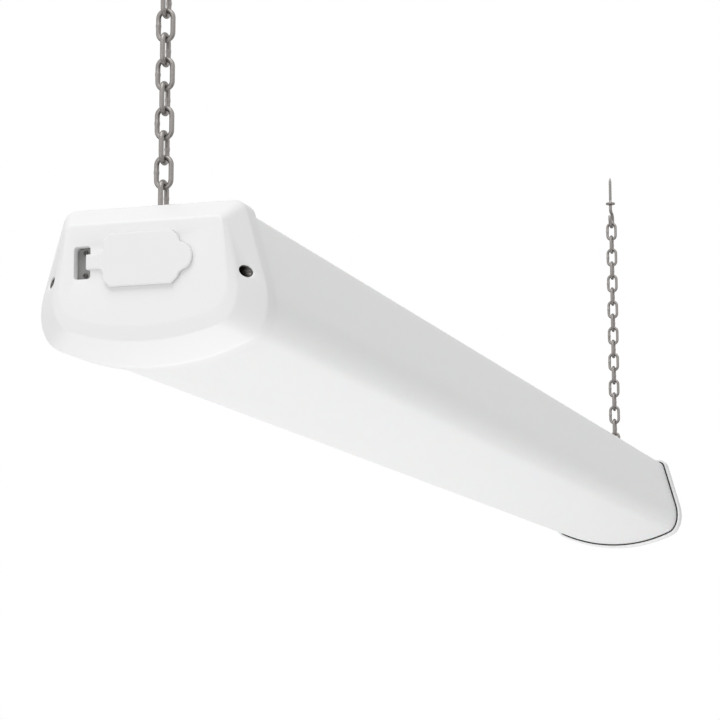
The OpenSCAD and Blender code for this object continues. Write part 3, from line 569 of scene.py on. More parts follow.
@dataclass(frozen=True)
class Finish:
    """One finish, named for what it is made of.

    The grain is a real size in mm, and the depth is that of its bump.
    """

    name: str
    surface: Surface
    colour: str
    roughness: float
    grain: float
    depth: float
    second: str | None = None
    metallic: float = 0.0
    ior: float = 1.5
    spread: float = 0.06
    glow: float = 0.0
    glow_reach: float = 2.0
    coarser: float = 9.0
    winding: float = 3.0
    die_lines: Triple = (0.004, 1, 1)

    def material(self) -> Material:
        """Builds the material from its pattern, and returns it."""
        made = bpy.data.materials.get(self.name)
        if made is not None:
            return made
        made, tree, shader = new_material(self.name)
        for name, value in {
            "Base Color": linear(self.colour), "Metallic": self.metallic, "IOR": self.ior,
            "Subsurface Weight": self.glow, "Subsurface Scale": self.glow_reach * MM,
        }.items():
            shader.inputs[name].default_value = value
        made.diffuse_color = linear(self.colour)
        fine, broad = self.patterns(tree)
        low, high = self.roughness - self.spread, self.roughness + self.spread
        rough = add(tree, "MapRange", {"Value": broad, "To Min": low, "To Max": high})
        tree.links.new(rough.outputs[0], shader.inputs["Roughness"])
        relief = add(tree, "Bump",
                     {"Height": fine, "Distance": self.depth * MM, "Strength": 1.0})
        tree.links.new(relief.outputs[0], shader.inputs["Normal"])
        if self.second is not None:
            tint = add(tree, "Mix", {
                "0": broad, "6": linear(self.colour), "7": linear(self.second),
            }, data_type="RGBA")
            tree.links.new(tint.outputs[2], shader.inputs["Base Color"])
        return made

    def patterns(self, tree: NodeTree) -> tuple[NodeSocket, NodeSocket]:
        """Adds the surface's pattern.

        Args:
            tree: the material's nodes.

        Returns:
            The outputs of the fine pattern, for relief, and the broad one, for gloss and tint.
        """
        place = add(tree, "TexCoord").outputs["Object"]
        scale = 1 / (self.grain * MM)
        if self.surface is Surface.WOUND:
            bands = add(tree, "TexWave",
                        {"Vector": place, "Scale": scale / self.winding, "Distortion": 0.6},
                        bands_direction="X")
            return bands.outputs["Fac"], bands.outputs["Fac"]
        if self.surface is Surface.EXTRUDED:
            drawn = add(tree, "Mapping", {"Vector": place, "Scale": self.die_lines})
            place = drawn.outputs[0]
        detail = 5.0 if self.surface in (Surface.PLATED, Surface.POLISHED) else 2.0
        fine = add(tree, "TexNoise",
                   {"Vector": place, "Scale": scale, "Detail": detail})
        broad = add(tree, "TexNoise",
                    {"Vector": place, "Scale": scale / self.coarser, "Detail": 3.0})
        if self.surface is Surface.PLATED:
            crystals = add(tree, "TexVoronoi", {"Vector": place, "Scale": scale})
            return fine.outputs["Fac"], crystals.outputs["Distance"]
        return fine.outputs["Fac"], broad.outputs["Fac"]


# The record's material slots and their finishes
FINISHES: dict[str, Finish] = {
    # Satin moulded ABS: an even white with a fine grain
    "white_plastic": Finish("moulded_abs", Surface.SPARKED, "#F1F1F1", 0.46, 0.45, 0.010, ior=1.53),
    # Extruded opal polycarbonate: smoother than the caps, with a long soft sheen
    "opal_plastic": Finish("opal_polycarbonate", Surface.EXTRUDED, "#F2F2F2", 0.36, 0.9, 0.006,
                           ior=1.58, spread=0.03, glow=0.1),
    "black_rubber": Finish("epdm_rubber", Surface.DULLED, "#202020", 0.72, 0.5, 0.02),
    # White rubber of the socket cover: softer in sheen than the cap
    "white_rubber": Finish("silicone_rubber", Surface.DULLED, "#EFEFEF", 0.56, 0.5, 0.010,
                           ior=1.41),
    # Zinc plate on steel wire and pressings: warm grey, cloudy
    "zinc_steel": Finish("zinc_plated_steel", Surface.PLATED, "#8B8784", 0.42, 0.7, 0.012,
                         second="#9B9794", metallic=1.0, spread=0.08),
    # Black-oxide steel of the screws: dark, with an oily sheen. The same finish is on the sleeves in the screw wells,
    # dark linings that paint shade into the wells
    "dark_screw": Finish("black_oxide_steel_and_painted_well_shade", Surface.POLISHED, "#5C5A58", 0.34, 0.5, 0.008,
                         metallic=1.0),
    "white_steel": Finish("powder_coated_steel", Surface.POWDERED, "#EFEFEF", 0.42, 0.8, 0.012),
    # White solder resist on an aluminium board: flat, half gloss
    "white_board": Finish("white_solder_resist", Surface.POLISHED, "#EDEDE6", 0.34, 0.4, 0.004),
    # Phosphor-filled silicone of the LEDs: waxy yellow
    "led_yellow": Finish("phosphor_silicone", Surface.POLISHED, "#E6C65A", 0.30, 0.3, 0.004,
                         ior=1.41, glow=0.2),
    "green_board": Finish("green_solder_resist", Surface.POLISHED, "#1F6B43", 0.33, 0.6, 0.004,
                          second="#2A7C50"),
    # Amber tape round the transformer, with lapped edges
    "amber_tape": Finish("polyester_tape", Surface.WOUND, "#C4951F", 0.24, 2.0, 0.03,
                         second="#D2A630"),
    "copper_coil": Finish("enamelled_copper", Surface.WOUND, "#8C4A24", 0.28, 0.8, 0.12,
                          second="#A65C30"),
    "blue_can": Finish("pvc_shrink_sleeve", Surface.POLISHED, "#22305A", 0.26, 0.5, 0.006),
    "green_terminal": Finish("green_nylon", Surface.SPARKED, "#3A8A4C", 0.48, 0.4, 0.010),
    # Grey PBT of the link socket and of the clamp in the window
    "grey_plastic": Finish("grey_pbt", Surface.SPARKED, "#8E8E8C", 0.50, 0.4, 0.010),
    "black_plastic": Finish("black_nylon", Surface.SPARKED, "#1E1E1F", 0.46, 0.4, 0.012),
    "brass": Finish("bright_brass", Surface.POLISHED, "#CBA64E", 0.24, 0.5, 0.004,
                    second="#BE9840", metallic=1.0),
    # PVC insulation of the wires, in four colours
    **{f"{name}_wire": Finish(f"{name}_pvc", Surface.POLISHED, colour, 0.38, 0.6, 0.008)
       for name, colour in (("black", "#1C1C1C"), ("white", "#E4E4E1"), ("green", "#2B8C46"),
                            ("red", "#BE3228"))},
}


def dress(piece: Object, slot: str) -> Object:
    """Gives a piece the finish of one of the record's material slots.

    Args:
        piece: the object to dress.
        slot: the slot's name in the record.

    Returns:
        The same object.
    """
    piece.data.materials.clear()
    piece.data.materials.append(FINISHES[slot].material())
    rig.slot(piece, slot)
    return piece


# ---- places


@dataclass(frozen=True)
class Site:
    """Where the light hangs, in mm: half its length and the height of its top."""

    half_length: float
    top: float

    @classmethod
    def from_frame(cls) -> Site:
        """Reads both from the near end cap in the frame."""
        low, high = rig.box("near_end_cap")
        return cls(half_length=-low.x / MM, top=high.z / MM)

    def at(self, x: float, y: float, z: float) -> Vector:
        """Point in metres: x and y from the middle, z from the light's top, all in mm."""
        return Vector((x, y, self.top + z)) * MM


@dataclass(frozen=True)
class EndFrame:
    """One end of the light. Its u runs from the front face of the cap towards the middle."""

    name: str
    sign: int
    site: Site

    def at(self, u: float, y: float, z: float) -> Vector:
        """Point in metres: u from the front face, y, and z from the light's top, all in mm."""
        return self.site.at(self.sign * (self.site.half_length - u), y, z)


@dataclass(frozen=True)
class Section:
    """Cross-section of the light, in mm: flat top, leaning sides, curved underside."""

    top: float
    half_width: float
    lean: float
    top_radius: float
    bottom: float
    corner_side: float
    corner_base: float
    belly_radius: float = 124.0
    corner_pull: float = 0.58
    steps: tuple[int, int, int] = (6, 10, 12)

    def side(self, z: float, inset: float = 0.0) -> float:
        """Half width of the straight side at height z, inset mm inside it."""
        lean = math.radians(self.lean)
        return self.half_width + (self.top - z) * math.tan(lean) - inset / math.cos(lean)

    def half(self, inset: float = 0.0) -> list[Pair]:
        """Right half of the outline, from the top round to the middle of the underside.

        Args:
            inset: how far inside the outline, in mm.

        Returns:
            Points as y and z.
        """
        lean = math.radians(self.lean)
        slope = math.tan(lean)
        radius = self.top_radius - inset
        fillet_z = self.top - inset - radius
        fillet_y = self.side(fillet_z, inset + radius)
        belly_z = self.bottom + self.belly_radius
        belly = self.belly_radius - inset
        width = self.side(self.top, inset)
        height = self.top - belly_z
        a = slope * slope + 1
        b = 2 * (width * slope - height)
        c = width * width + height * height - belly * belly
        down = (math.sqrt(b * b - 4 * a * c) - b) / (2 * a)
        knee = Vector((width + down * slope, self.top - down))
        turn = math.asin(knee.x / belly)
        trim = inset * math.tan(math.pi / 4 + (lean - turn) / 2)
        side_l = self.corner_side - trim
        base_l = self.corner_base - trim
        last = turn - base_l / belly
        start = knee + side_l * Vector((-math.sin(lean), math.cos(lean)))
        end = Vector((belly * math.sin(last), belly_z - belly * math.cos(last)))
        pull_start = start + self.corner_pull * side_l * Vector((math.sin(lean), -math.cos(lean)))
        pull_end = end + self.corner_pull * base_l * Vector((math.cos(last), math.sin(last)))
        n_top, n_corner, n_belly = self.steps
        points: list[Pair] = []
        for i in range(n_top + 1):
            way = math.pi / 2 - (math.pi / 2 - lean) * i / n_top
            points.append((fillet_y + radius * math.cos(way), fillet_z + radius * math.sin(way)))
        for i in range(n_corner + 1):
            t = i / n_corner
            p = (start * (1 - t) ** 3 + pull_start * (3 * t * (1 - t) ** 2)
                 + pull_end * (3 * t * t * (1 - t)) + end * t ** 3)
            points.append((p.x, p.y))
        for i in range(1, n_belly + 1):
            way = last * (1 - i / n_belly)
            points.append((belly * math.sin(way), belly_z - belly * math.cos(way)))
        return points

    def outline(self, inset: float = 0.0) -> list[Pair]:
        """The whole closed outline, inset mm inside, as y and z."""
        half = self.half(inset)
        return half + [(-y, z) for y, z in reversed(half[:-1])]


@dataclass(frozen=True)
class Profile:
    """The light's outlines from the front face of a cap back to its skirt, in mm."""

    bevel_depth: float = 14.0
    band_depth: float = 2.0
    face_drop: float = 10.8
    face_half: float = 41.2
    band_out: float = 1.3
    band_lean: float = 10.8
    skirt: Section = Section(0, 47.5, 15.8, 7, -82, 22, 16)
    face: Section = Section(-10.8, 41.2, 6, 4, -63.5, 12, 12)

    @property
    def band(self) -> Section:
        """Outer edge of the narrow band round the front face, whose top lies on the top bevel."""
        top = -self.face_drop * (1 - self.band_depth / self.bevel_depth)
        inwards = (self.face_drop + top) * math.tan(math.radians(self.band_lean))
        half = self.face_half - inwards + self.band_out
        return Section(top, half, self.band_lean, 4.7, -70.5, 17, 14)


PROFILE = Profile()


# ---- end caps


@dataclass
class EndCap:
    """Moulded end cap: face, bevels and skirt, with its mouth, screw wells and strap window."""

    end: EndFrame
    depth: float = 27.0
    wall: float = 2.0
    skirt_wall: float = 1.8
    ledge: float = 5.2
    lens_in: float = 16.0
    core_in: float = 2.0
    roundings: tuple[float, ...] = (0, 2.2, 0.8, 1.4, 0.5, 0.4, 0.2, 0.2, 0.6, 0.6, 0)
    lip: float = 0.25
    mouth: Pair = (31.0, 18.6)
    mouth_middle: Pair = (0.6, -30.0)
    mouth_corners: Pair = (2, 3)
    collar: float = 2.0
    collar_depth: float = 8.5
    window: Pair = (8.8, 16.5)
    window_middle: Pair = (32.4, -30.2)
    window_corners: Pair = (1.6, 2.5)
    pocket: float = 1.4
    pocket_depth: float = 8.4
    pocket_floor: float = 2.6
    screw_u: float = 6.8
    screw_z: float = -38.0
    screw: float = 3.1
    well: float = 6.2
    seat: float = 2.4
    boss: float = 10.0
    boss_y: float = 42.66
    boss_out: float = 70.0
    well_out: float = 75.0
    notch_in: float = 20.15
    notch_half: float = 12.78
    notch_corner: float = 1.2

    def ring(self, section: Section, u: float, inset: float = 0.0) -> list[Vector]:
        """One ring of the cap: a section at depth u, inset mm inside."""
        return [self.end.at(u, y, z) for y, z in section.outline(inset)]

    def outside(self, inset: float = 0.0) -> list[list[Vector]]:
        """Rings of the outside from the face to the end of the skirt."""
        p = PROFILE
        return [
            self.ring(p.face, inset, inset),
            self.ring(p.band, p.band_depth, inset),
            self.ring(p.skirt, p.bevel_depth, inset),
            self.ring(p.skirt, self.depth - inset, inset),
        ]

    def shell(self) -> Object:
        """The cap without its openings: outside, rim, lens seat and hollow in one skin."""
        p = PROFILE
        rings = [
            self.ring(p.face, 0, self.core_in),
            *self.outside(),
            self.ring(p.skirt, self.depth, self.skirt_wall),
            self.ring(p.skirt, self.lens_in, self.skirt_wall),
            self.ring(p.skirt, self.lens_in, self.ledge),
            self.ring(p.skirt, p.bevel_depth, self.ledge),
            self.ring(p.band, p.band_depth + self.wall, self.wall + 0.4),
            self.ring(p.face, self.wall, self.wall),
        ]
        return loft(f"{self.end.name}_cap", eased(rings, self.roundings))

    def across(self, y: float) -> Vector:
        """Point on the axis of the cap screws, y mm to the side."""
        return self.end.at(self.screw_u, y, self.screw_z)

    def bosses(self) -> list[Object]:
        """The two bosses round the screw wells, cut to the inside of the wall."""
        made = []
        for side in SIDES:
            ends = (self.across(side * y) for y in (self.boss_y, self.boss_out))
            boss = rod(*ends, self.boss)
            core = loft("cap_core", self.outside(JOIN_FROM))
            made.append(combine(boss, core, "INTERSECT"))
        return made

    def block(self, u0: float, u1: float, middle: Pair, size: Pair, radius: float) -> Object:
        """Rounded block along the light.

        Args:
            u0: start depth in mm.
            u1: end depth in mm.
            middle: y and z of its middle.
            size: width and height.
            radius: corner radius.

        Returns:
            The block.
        """
        (y, z), (w, h) = middle, size
        a = self.end.at(u0, y - w / 2, z - h / 2)
        return rounded_block(a, self.end.at(u1, y + w / 2, z + h / 2), radius)

    def notch(self) -> Object:
        """Block that cuts the top of the skirt open to the rear, round the hanger eye."""
        a = self.end.at(self.notch_in, -self.notch_half, -self.ledge - 1)
        b = self.end.at(self.depth - CUT_FROM, self.notch_half, 1)
        return rounded_block(a, b, self.notch_corner, axis=2)

    def on_lip(self, edge: bmesh.types.BMEdge) -> bool:
        """Tells whether an edge is the lip of an opening in the face or of a screw well."""
        blunt, sharp = 0.5, 1.2  # radians between the edge's faces
        on_face, on_well = 1e-6, 2e-6  # metres
        if not edge.is_manifold or edge.calc_face_angle(0) < blunt:
            return False
        front = self.end.at(0, 0, 0).x
        well = self.across(0)
        points = [v.co for v in edge.verts]
        if all(abs(p.x - front) < on_face for p in points):
            return edge.calc_face_angle(0) > sharp
        return all(
            abs(math.hypot(p.x - well.x, p.z - well.z) - self.well * MM / 2) < on_well
            and abs(p.y) > (self.boss_y + 3) * MM for p in points
        )

    def soften_openings(self, cap: Object) -> None:
        """Rounds the lips of the openings where they break the outside.

        Args:
            cap: the finished shell.
        """
        with editing(cap):
            pick_edges(cap, self.on_lip)
            bpy.ops.mesh.bevel(offset=self.lip * MM, segments=2, affect="EDGES")

    def cut_window(self, cap: Object) -> None:
        """Adds the strap's pocket behind the face and opens its window.

        Args:
            cap: the shell.
        """
        (w, h), middle, wall = self.window, self.window_middle, 2 * self.pocket
        inside, outside = self.window_corners
        deep = self.pocket_depth + self.pocket_floor
        pocket = self.block(JOIN_FROM, deep, middle, (w + wall, h + wall), outside)
        combine(cap, pocket, "UNION")
        hole = self.block(CUT_FROM, self.pocket_depth, middle, (w, h), inside)
        combine(cap, hole, "DIFFERENCE")

    def build(self) -> list[Object]:
        """Builds the cap and returns it."""
        cap = self.shell()
        for boss in self.bosses():
            combine(cap, boss, "UNION")
        (w, h), middle, wall = self.mouth, self.mouth_middle, 2 * self.collar
        inside, outside = self.mouth_corners
        collar = self.block(JOIN_FROM, self.collar_depth, middle, (w + wall, h + wall), outside)
        combine(cap, collar, "UNION")
        if self.end.sign < 0:
            self.cut_window(cap)
        mouth = self.block(CUT_FROM, self.collar_depth - CUT_FROM, middle, (w, h), inside)
        combine(cap, mouth, "DIFFERENCE")
        for side in SIDES:
            seat = self.across(side * (self.boss_y + self.seat))
            inner = self.across(side * (self.boss_y + CUT_FROM))
            combine(cap, rod(seat, self.across(side * self.well_out), self.well), "DIFFERENCE")
            combine(cap, rod(inner, seat, self.screw), "DIFFERENCE")
        combine(cap, self.notch(), "DIFFERENCE")
        self.soften_openings(cap)
        finish_mesh(cap, angle=32)
        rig.replaces(cap, f"{self.end.name}_end_cap")
        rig.ride(dress(cap, "white_plastic"), "fixture")
        return [cap]


# ---- lens


@dataclass
class Lens:
    """Opal wrap: one extruded skin, open at the top between its two lips."""

    site: Site
    step: float = 3.0
    wall: float = 1.8
    end_in: float = 16.0
    lip_half: float = 33.8
    end_ring: float = 0.6

    def outline(self) -> list[Pair]:
        """Closed outline of the skin: its outside one way, then its inside back."""
        rounds = []
        for inset in (self.step, self.step + self.wall):
            half = [(self.lip_half, -inset)] + PROFILE.skirt.half(inset)
            rounds.append(half + [(-y, z) for y, z in reversed(half[:-1])])
        return rounds[0] + rounds[1][::-1]

    def build(self) -> list[Object]:
        """Builds the lens and returns it."""
        reach = self.site.half_length - self.end_in
        outline = self.outline()
        last = reach - self.end_ring
        stations = [-reach, -last, *(reach * k / 6 for k in range(-5, 6)), last, reach]
        lens = loft("lens_wrap", [[self.site.at(x, y, z) for y, z in outline] for x in stations])
        finish_mesh(lens, angle=32)
        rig.replaces(lens, "lens")
        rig.ride(dress(lens, "opal_plastic"), "fixture")
        return [lens]


# ---- chains, hooks and hangers


@dataclass
class Chain:
    """One chain: links of bent and welded wire, a screw hook above and a wire hanger below."""

    end: EndFrame
    wire: float = 2.6
    inside: float = 13.1
    inside_width: float = 5.3
    links: int = 18
    step: float = 12.8
    behind_face: float = 26.0
    first_link: float = -27.75
    weld_half: float = 1.1
    weld_swell: float = 1.12
    hook_wire: float = 3.0
    hook_z: float = -16.0
    hook_thread: Thread = Thread(pitch=1.5, crest=3.0, root=2.3)
    elbow: float = 3.0
    elbow_z: float = -6.0
    thread: float = 25.0
    collar: float = 1.5
    hanger_wire: float = 2.4
    hanger_thread: Thread = Thread(pitch=0.6, crest=2.4, root=2.0)
    hanger_half: float = 9.0
    hanger_bar: float = 1.55
    hanger_low: float = -9.6
    hanger_bend: float = 3.0

    def middle(self) -> Vector:
        """The point of the ceiling over this chain."""
        x = self.end.sign * (self.end.site.half_length - self.behind_face)
        return Vector((x, 0, 0)) * MM

    def link(self) -> Object:
        """One link in the X-Z plane at the origin, with the slight swelling of its weld."""
        bend = (self.inside_width + self.wire) / 2
        straight = (self.inside - self.inside_width) / 2
        weld, swell = self.weld_half, self.weld_swell
        up = Vector((0, 0, MM))
        wire = BentWire("link", Vector((bend, 0, -straight)) * MM, up, self.wire)
        wire.straight(up * (straight - weld))
        wire.straight(up * weld * 0.4, swell)
        wire.straight(up * weld * 1.2)
        wire.straight(up * weld * 0.4, 1 / swell)
        wire.straight(up * (straight - weld))
        wire.bend(Vector((0, 0, straight)) * MM, Vector((0, -1, 0)), 180, 14)
        wire.straight(up * -2 * straight)
        wire.bend(Vector((0, 0, -straight)) * MM, Vector((0, -1, 0)), 180, 14)
        return wire.done()

    def row(self, name: str, first: int, last: int) -> Object:
        """Links first to last, counted from the ceiling; odd ones stand across the light.

        Args:
            name: the row's name.
            first: number of its first link.
            last: number of its last link.

        Returns:
            The links as one object.
        """
        pattern = self.link()
        made = []
        for i in range(first, last + 1):
            place = self.middle() + Vector((0, 0, self.first_link - (i - 1) * self.step)) * MM
            turn = Matrix.Rotation(math.pi / 2 if i % 2 else 0.0, 4, "Z")
            made.append(twin(pattern, Matrix.Translation(place) @ turn))
        bpy.data.objects.remove(pattern)
        return join(name, made)

    def hook(self) -> Object:
        """Screw hook: pointed thread, collar, elbow and open hook."""
        top = self.middle()
        inwards = -self.end.sign
        turn = Vector((0, -inwards, 0))
        shank = top + Vector((self.elbow * inwards, 0, 0)) * MM
        ridge = self.hook_thread
        tip, point, plain, ramp = 0.5, 3, 1.5, 0.5
        start = shank + Vector((0, 0, self.thread * MM))
        wire = BentWire(f"{self.end.name}_hook", start, Vector((0, 0, -1)), tip)
        wire.straight(Vector((0, 0, -point * MM)), ridge.root / tip)
        wire.straight(Vector((0, 0, (point + plain - self.thread) * MM)))
        wire.straight(Vector((0, 0, -ramp * MM)), self.hook_wire / ridge.root)
        wire.straight(Vector((0, 0, (self.elbow_z - plain + ramp) * MM)))
        wire.bend(top + Vector((0, 0, self.elbow_z)) * MM, -turn, 90, 6)
        wire.bend(top + Vector((0, 0, self.hook_z)) * MM, turn, 290, 32)
        wire.straight(Vector((0.05 * inwards, 0, 0.1)) * MM, 0.8)
        shape = wire.done()
        collar = rod(shank - Vector((0, 0, self.collar * MM)), shank, 3 * self.hook_wire)
        modify(collar, "BEVEL", width=0.4 * MM, segments=3, limit_method="ANGLE")
        finish_mesh(collar)
        winding = ridge.on(shank + Vector((0, 0, 2 * MM)), self.thread - 5)
        return join(f"{self.end.name}_ceiling_hook", [shape, collar, winding])

    def hanger(self) -> Object:
        """U of wire over the housing, with threaded legs."""
        end, ridge = self.end, self.hanger_thread
        legs, bend = self.hanger_half, self.hanger_bend
        bar, low = self.hanger_bar, self.hanger_low
        u = self.behind_face
        tip, point, plain, ramp = 1.7, 0.4, 1.4, 0.2
        threaded = -plain - low - point
        smooth = bar - bend + plain - ramp
        leg = [(point, ridge.root / tip), (threaded, 1), (ramp, self.hanger_wire / ridge.root),
               (smooth, 1)]
        up = Vector((0, 0, MM))
        axis = Vector((-1, 0, 0))
        wire = BentWire("hanger", end.at(u, -legs, low), up, tip)
        for length, swell in leg:
            wire.straight(up * length, swell)
        wire.bend(end.at(u, bend - legs, bar - bend), axis, 90, 8)
        wire.straight(Vector((0, 2 * (legs - bend) * MM, 0)))
        wire.bend(end.at(u, legs - bend, bar - bend), axis, 90, 8)
        for length, swell in reversed(leg):
            wire.straight(up * -length, 1 / swell)
        shape = wire.done()
        feet = [end.at(u, side * legs, low + 0.3) for side in SIDES]
        windings = [ridge.on(foot, -plain - ramp - low) for foot in feet]
        return join(f"{end.name}_hanger_eye", [shape, *windings])

    def build(self) -> list[Object]:
        """Builds the hook, the links and the hanger, and returns them."""
        name = self.end.name
        made = [
            (self.hook(), f"ceiling_hook_{name}", "ceiling"),
            (self.row(f"{name}_top_link", 1, 1), f"{name}_chain_top_link", f"{name}_top_link"),
            (self.row(f"{name}_links", 2, self.links), f"{name}_chain_links", f"{name}_chain"),
            (self.hanger(), f"{name}_hanger", "fixture"),
        ]
        for piece, node, body in made:
            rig.replaces(piece, node)
            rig.ride(dress(piece, "zinc_steel"), body)
        return [piece for piece, _, _ in made]


# ---- socket cover


@dataclass
class SocketCover:
    """Rubber cover of the link socket, moulded in one with its pull tongue and its strap."""

    end: EndFrame
    middle: Pair = (0.6, -30.0)
    size: Pair = (39.6, 26.7)
    thickness: float = 1.9
    chamfer: float = 3.5
    tongue: float = 7.0
    tongue_out: float = 0.3
    tongue_root: tuple[Pair, ...] = ((0, 2.0), (0.9, 0.5))
    strap_width: float = 7.5
    strap_root: tuple[Pair, ...] = ((0, 2.6), (0.8, 0.8), (2.6, 0))
    strap: float = 1.6
    strap_z: float = -30.2
    strap_under_clamp: float = 5.0
    window_edge: float = 28.0
    window_room: float = 0.15
    clamp_face: float = 4.7
    clamp: float = 1.7
    lift: float = 0.3
    plug: float = 1.2
    plug_size: Pair = (29.6, 17.2)
    voxel: float = 0.32

    def plate(self) -> Object:
        """Flat plate with chamfered corners, its tongue and the flare where the strap sets off."""
        y, z = self.middle
        w, h, c = self.size[0] / 2, self.size[1] / 2, self.chamfer
        strap, tongue = self.strap_width / 2, self.tongue
        base = self.strap_z - z
        turns = [math.pi * k / 12 for k in range(1, 12)]
        tip = -w - self.tongue_out
        points = [
            (c - w, h), (-w, h - c),
            *((-w - out, base + tongue + past) for out, past in self.tongue_root),
            *((tip - tongue * math.sin(a), base + tongue * math.cos(a)) for a in turns),
            *((-w - out, base - tongue - past) for out, past in self.tongue_root[::-1]),
            (-w, c - h), (c - w, -h), (w - c, -h), (w, c - h),
            *((w + out, base - strap - past) for out, past in self.strap_root),
            *((w + out, base + strap + past) for out, past in self.strap_root[::-1]),
            (w, h - c), (w - c, h),
        ]
        rings = [[self.end.at(u, y + a, z + b) for a, b in points]
                 for u in (-self.lift - self.thickness, -self.lift)]
        return loft("cover_plate", rings)

    def tail(self) -> Object:
        """The strap: from the plate over the rim of the window, down to the clamp and under it."""
        front = -self.lift - self.strap
        y0 = self.middle[0] + self.size[0] / 2 - 1
        y1 = self.window_edge + self.window_room
        y2 = y1 + self.strap
        deep = self.clamp_face + self.clamp + 0.2
        foot = y2 + self.strap_under_clamp
        corner = [(0.7, 0), (0.2, 0.2), (0, 0.7)]
        path = [(-self.lift, y0), (-self.lift, y1), (deep + self.strap, y1),
                (deep + self.strap, foot), (deep, foot), (deep, y2),
                *((front + back, y2 - off) for back, off in corner), (front, y0)]
        edges = [self.strap_z + side * self.strap_width / 2 for side in SIDES]
        return loft("cover_strap", [[self.end.at(u, y, z) for u, y in path] for z in edges])

    def build(self) -> list[Object]:
        """Builds the cover with its strap, and returns it."""
        cover = combine(self.plate(), self.tail(), "UNION")
        y, z = self.middle
        w, h = self.plug_size[0] / 2, self.plug_size[1] / 2
        a = self.end.at(-self.lift - 0.4, y - w, z - h)
        b = self.end.at(self.plug - self.lift, y + w, z + h)
        combine(cover, rounded_block(a, b, 2), "UNION")
        modify(cover, "REMESH", mode="VOXEL", voxel_size=self.voxel * MM)
        modify(cover, "SMOOTH", factor=0.5, iterations=6)
        cover.name = "socket_cover_strap"
        with editing(cover):
            bpy.ops.mesh.normals_make_consistent(inside=False)
        bpy.ops.object.shade_smooth()
        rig.replaces(cover, "socket_cover", "cover_tail")
        dress(cover, "white_rubber")
        hinge = (self.middle[0] + self.size[0] / 2 + self.window_edge) / 2
        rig.blend(cover, "fixture", "cover",
                 start=self.end.at(0, hinge + 2.6, z), end=self.end.at(0, hinge - 2.6, z))
        return [cover]


# ---- pieces with their CAD shape


@dataclass
class SoftenedPieces:
    """Pieces whose solids have the right shape: a merged copy gets the real one's small radii."""

    slots: dict[str, str]
    bodies: dict[str, str]
    radii: dict[str, float] = field(default_factory=lambda: {
        **{f"{end}_{piece}": radius for piece, radius in (
            ("hanger_nuts", 0.25), ("gasket", 0.25), ("end_bracket", 0.3), ("cap_screws", 0.18),
            # The screw sleeves are dark linings in the screw wells: painted shade that darkens the wells
            ("screw_sleeves", 0.12)) for end in ("near", "far")},
        "housing": 0.3, "cover_clamp": 0.25, "clamp_screws": 0.08, "link_socket": 0.3,
        "socket_contacts": 0.08, "socket_screws": 0.15, "supply_inlet": 0.3, "inlet_pins": 0.3,
        "inlet_screws": 0.15,
    })

    def soften(self, node: str, radius: float) -> Object:
        """Copies a node's mesh, merges it and rounds its edges.

        Args:
            node: the CAD node.
            radius: of its edges, in mm.

        Returns:
            The new piece.
        """
        piece = twin(bpy.data.objects[node])
        piece.name = f"{node}_eased"
        with editing(piece):
            bpy.ops.mesh.remove_doubles(threshold=MERGE_BUILT * MM)
            bpy.ops.mesh.dissolve_limited(angle_limit=math.radians(0.5))
        modify(piece, "BEVEL", width=radius * MM, segments=2, limit_method="ANGLE",
               angle_limit=math.radians(40), use_clamp_overlap=True)
        activate(piece)
        bpy.ops.object.shade_smooth_by_angle(angle=math.radians(35))
        return piece

    def build(self) -> list[Object]:
        """Softens each piece in the list and returns them all."""
        made = []
        for node, radius in self.radii.items():
            piece = self.soften(node, radius)
            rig.replaces(piece, node)
            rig.ride(dress(piece, self.slots[node]), self.bodies[node])
            made.append(piece)
        return made


# ---- studio


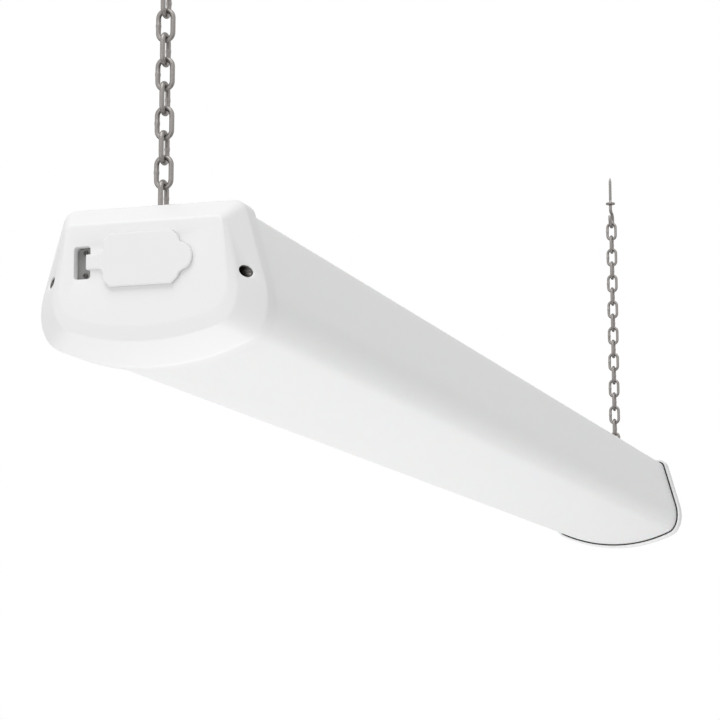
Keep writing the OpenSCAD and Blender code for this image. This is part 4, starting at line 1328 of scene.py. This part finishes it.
@dataclass
class Studio:
    """Plain studio: white surroundings, pale floor, four soft lamps, and the photograph's view.

    Places are in mm from the middle of the light's top. A lamp has a place, a side and watts.
    """

    site: Site
    ambient: float = 0.525
    view_from: Triple = (-1671.0, -447.0, -264.6)
    right: Triple = (0.29860, -0.95438, 0.00009)
    down: Triple = (0.15026, 0.04692, -0.98753)
    lens: float = 119.9
    aim: Triple = (0, 0, -40)
    floor_at: Triple = (0, 0, -2400)
    floor_size: float = 30.0
    lamps: dict[str, tuple[Triple, float, float]] = field(default_factory=lambda: {
        "front_lamp": ((-3600, -300, -1200), 1.6, 13.8),
        "left_lamp": ((-3000, 2200, -300), 1.6, 10.8),
        "over_lamp": ((-1700, 0, 2200), 2.0, 33.0),
        "under_lamp": ((-200, -200, -2200), 2.0, 26.0),
    })

    def camera(self) -> None:
        """Stands the camera where the photograph was taken from."""
        deselect()
        bpy.ops.object.camera_add()
        camera = bpy.context.object
        camera.name = "camera"
        right = Vector(self.right).normalized()
        down = Vector(self.down)
        down = (down - right * down.dot(right)).normalized()
        back = right.cross(-down)
        turn = Matrix((right, -down, back)).transposed().to_4x4()
        camera.matrix_world = Matrix.Translation(self.site.at(*self.view_from)) @ turn
        camera.data.lens = self.lens
        camera.data.clip_start = 0.01
        camera.data.clip_end = 50
        bpy.context.scene.camera = camera

    def surroundings(self) -> None:
        """Even light from all round, seen as plain white."""
        world = bpy.data.worlds.new("studio")
        bpy.context.scene.world = world
        world.use_nodes = True
        tree = world.node_tree
        tree.nodes.clear()
        path = add(tree, "LightPath").outputs
        seen = path["Is Camera Ray"]
        for ray in ("Is Glossy Ray", "Is Transmission Ray"):
            seen = add(tree, "Math", {"0": seen, "1": path[ray]}, operation="MAXIMUM").outputs[0]
        light, white = (
            add(tree, "Background", {"Color": (1, 1, 1, 1), "Strength": strength})
            for strength in (self.ambient, 1.0)
        )
        both = add(tree, "MixShader",
                   {"0": seen, "1": light.outputs[0], "2": white.outputs[0]})
        add(tree, "OutputWorld", {"Surface": both.outputs[0]})

    def floor(self) -> None:
        """Pale floor far below, which lets a view from under it pass."""
        deselect()
        place = self.site.at(*self.floor_at)
        bpy.ops.mesh.primitive_plane_add(size=self.floor_size, location=place)
        floor = bpy.context.object
        floor.name = "floor"
        material, tree, shader = new_material("pale_floor")
        shader.inputs["Base Color"].default_value = linear("#F4F4F4")
        shader.inputs["Roughness"].default_value = 0.9
        output = next(n for n in tree.nodes if n.type == "OUTPUT_MATERIAL")
        under = add(tree, "NewGeometry").outputs["Backfacing"]
        clear = add(tree, "BsdfTransparent")
        mix = add(tree, "MixShader",
                  {"0": under, "1": shader.outputs[0], "2": clear.outputs[0]})
        tree.links.new(mix.outputs[0], output.inputs["Surface"])
        floor.data.materials.append(material)
        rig.stage(floor)

    def lamp(self, name: str, place: Vector, size: float, watts: float) -> None:
        """Square soft lamp that faces the middle of the light.

        Args:
            name: the lamp's name.
            place: where it stands, in metres.
            size: its side, in metres.
            watts: its power.
        """
        deselect()
        way = self.site.at(*self.aim) - place
        bpy.ops.object.light_add(type="AREA", location=place,
                                 rotation=way.to_track_quat("-Z", "Y").to_euler())
        lamp = bpy.context.object
        lamp.name = name
        lamp.data.size = size
        lamp.data.energy = watts

    def build(self) -> None:
        """Sets up the whole studio."""
        bpy.context.scene.view_settings.view_transform = "Standard"
        self.camera()
        self.surroundings()
        self.floor()
        for name, (place, size, watts) in self.lamps.items():
            self.lamp(name, self.site.at(*place), size, watts)


# ---- the whole light


def dress_nodes(frame: dict, slots: dict[str, str]) -> None:
    """Gives every CAD node its finish.

    Args:
        slots: node name to its material slot.
    """
    for node, obj in frame["nodes"].items():
        obj.data.materials.clear()
        obj.data.materials.append(FINISHES[slots[node]].material())


def write_sizes(cad_box: tuple[Vector, Vector]) -> None:
    """Writes the CAD box and the dressed light's box, for comparison.

    Args:
        cad_box: the box straight after loading.
    """
    boxes = {"cad": [list(p) for p in cad_box], "visual": [list(p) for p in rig.bounds()]}
    with open(SIZE_FILE, "w") as out:
        json.dump(boxes, out)


def main() -> None:
    """Builds the light round its frame."""
    logging.basicConfig(level=logging.INFO, format="%(name)s: %(message)s")
    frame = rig.load()
    cad_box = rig.bounds()
    slots = {part["node"]: part["material_slot"] for part in frame["record"]["subparts"]}
    in_bodies = frame["record"]["behaviour"]["bodies"]
    bodies = {node: body for body, nodes in in_bodies.items() for node in nodes}
    site = Site.from_frame()
    near, far = EndFrame("near", -1, site), EndFrame("far", 1, site)
    Studio(site).build()
    dress_nodes(frame, slots)
    builders = [
        EndCap(near), EndCap(far), Lens(site), Chain(near), Chain(far), SocketCover(near),
        SoftenedPieces(slots, bodies),
    ]
    for builder in builders:
        for piece in builder.build():
            log.info("%s: %d faces", piece.name, len(piece.data.polygons))
    write_sizes(cad_box)


if __name__ == "__main__":
    main()
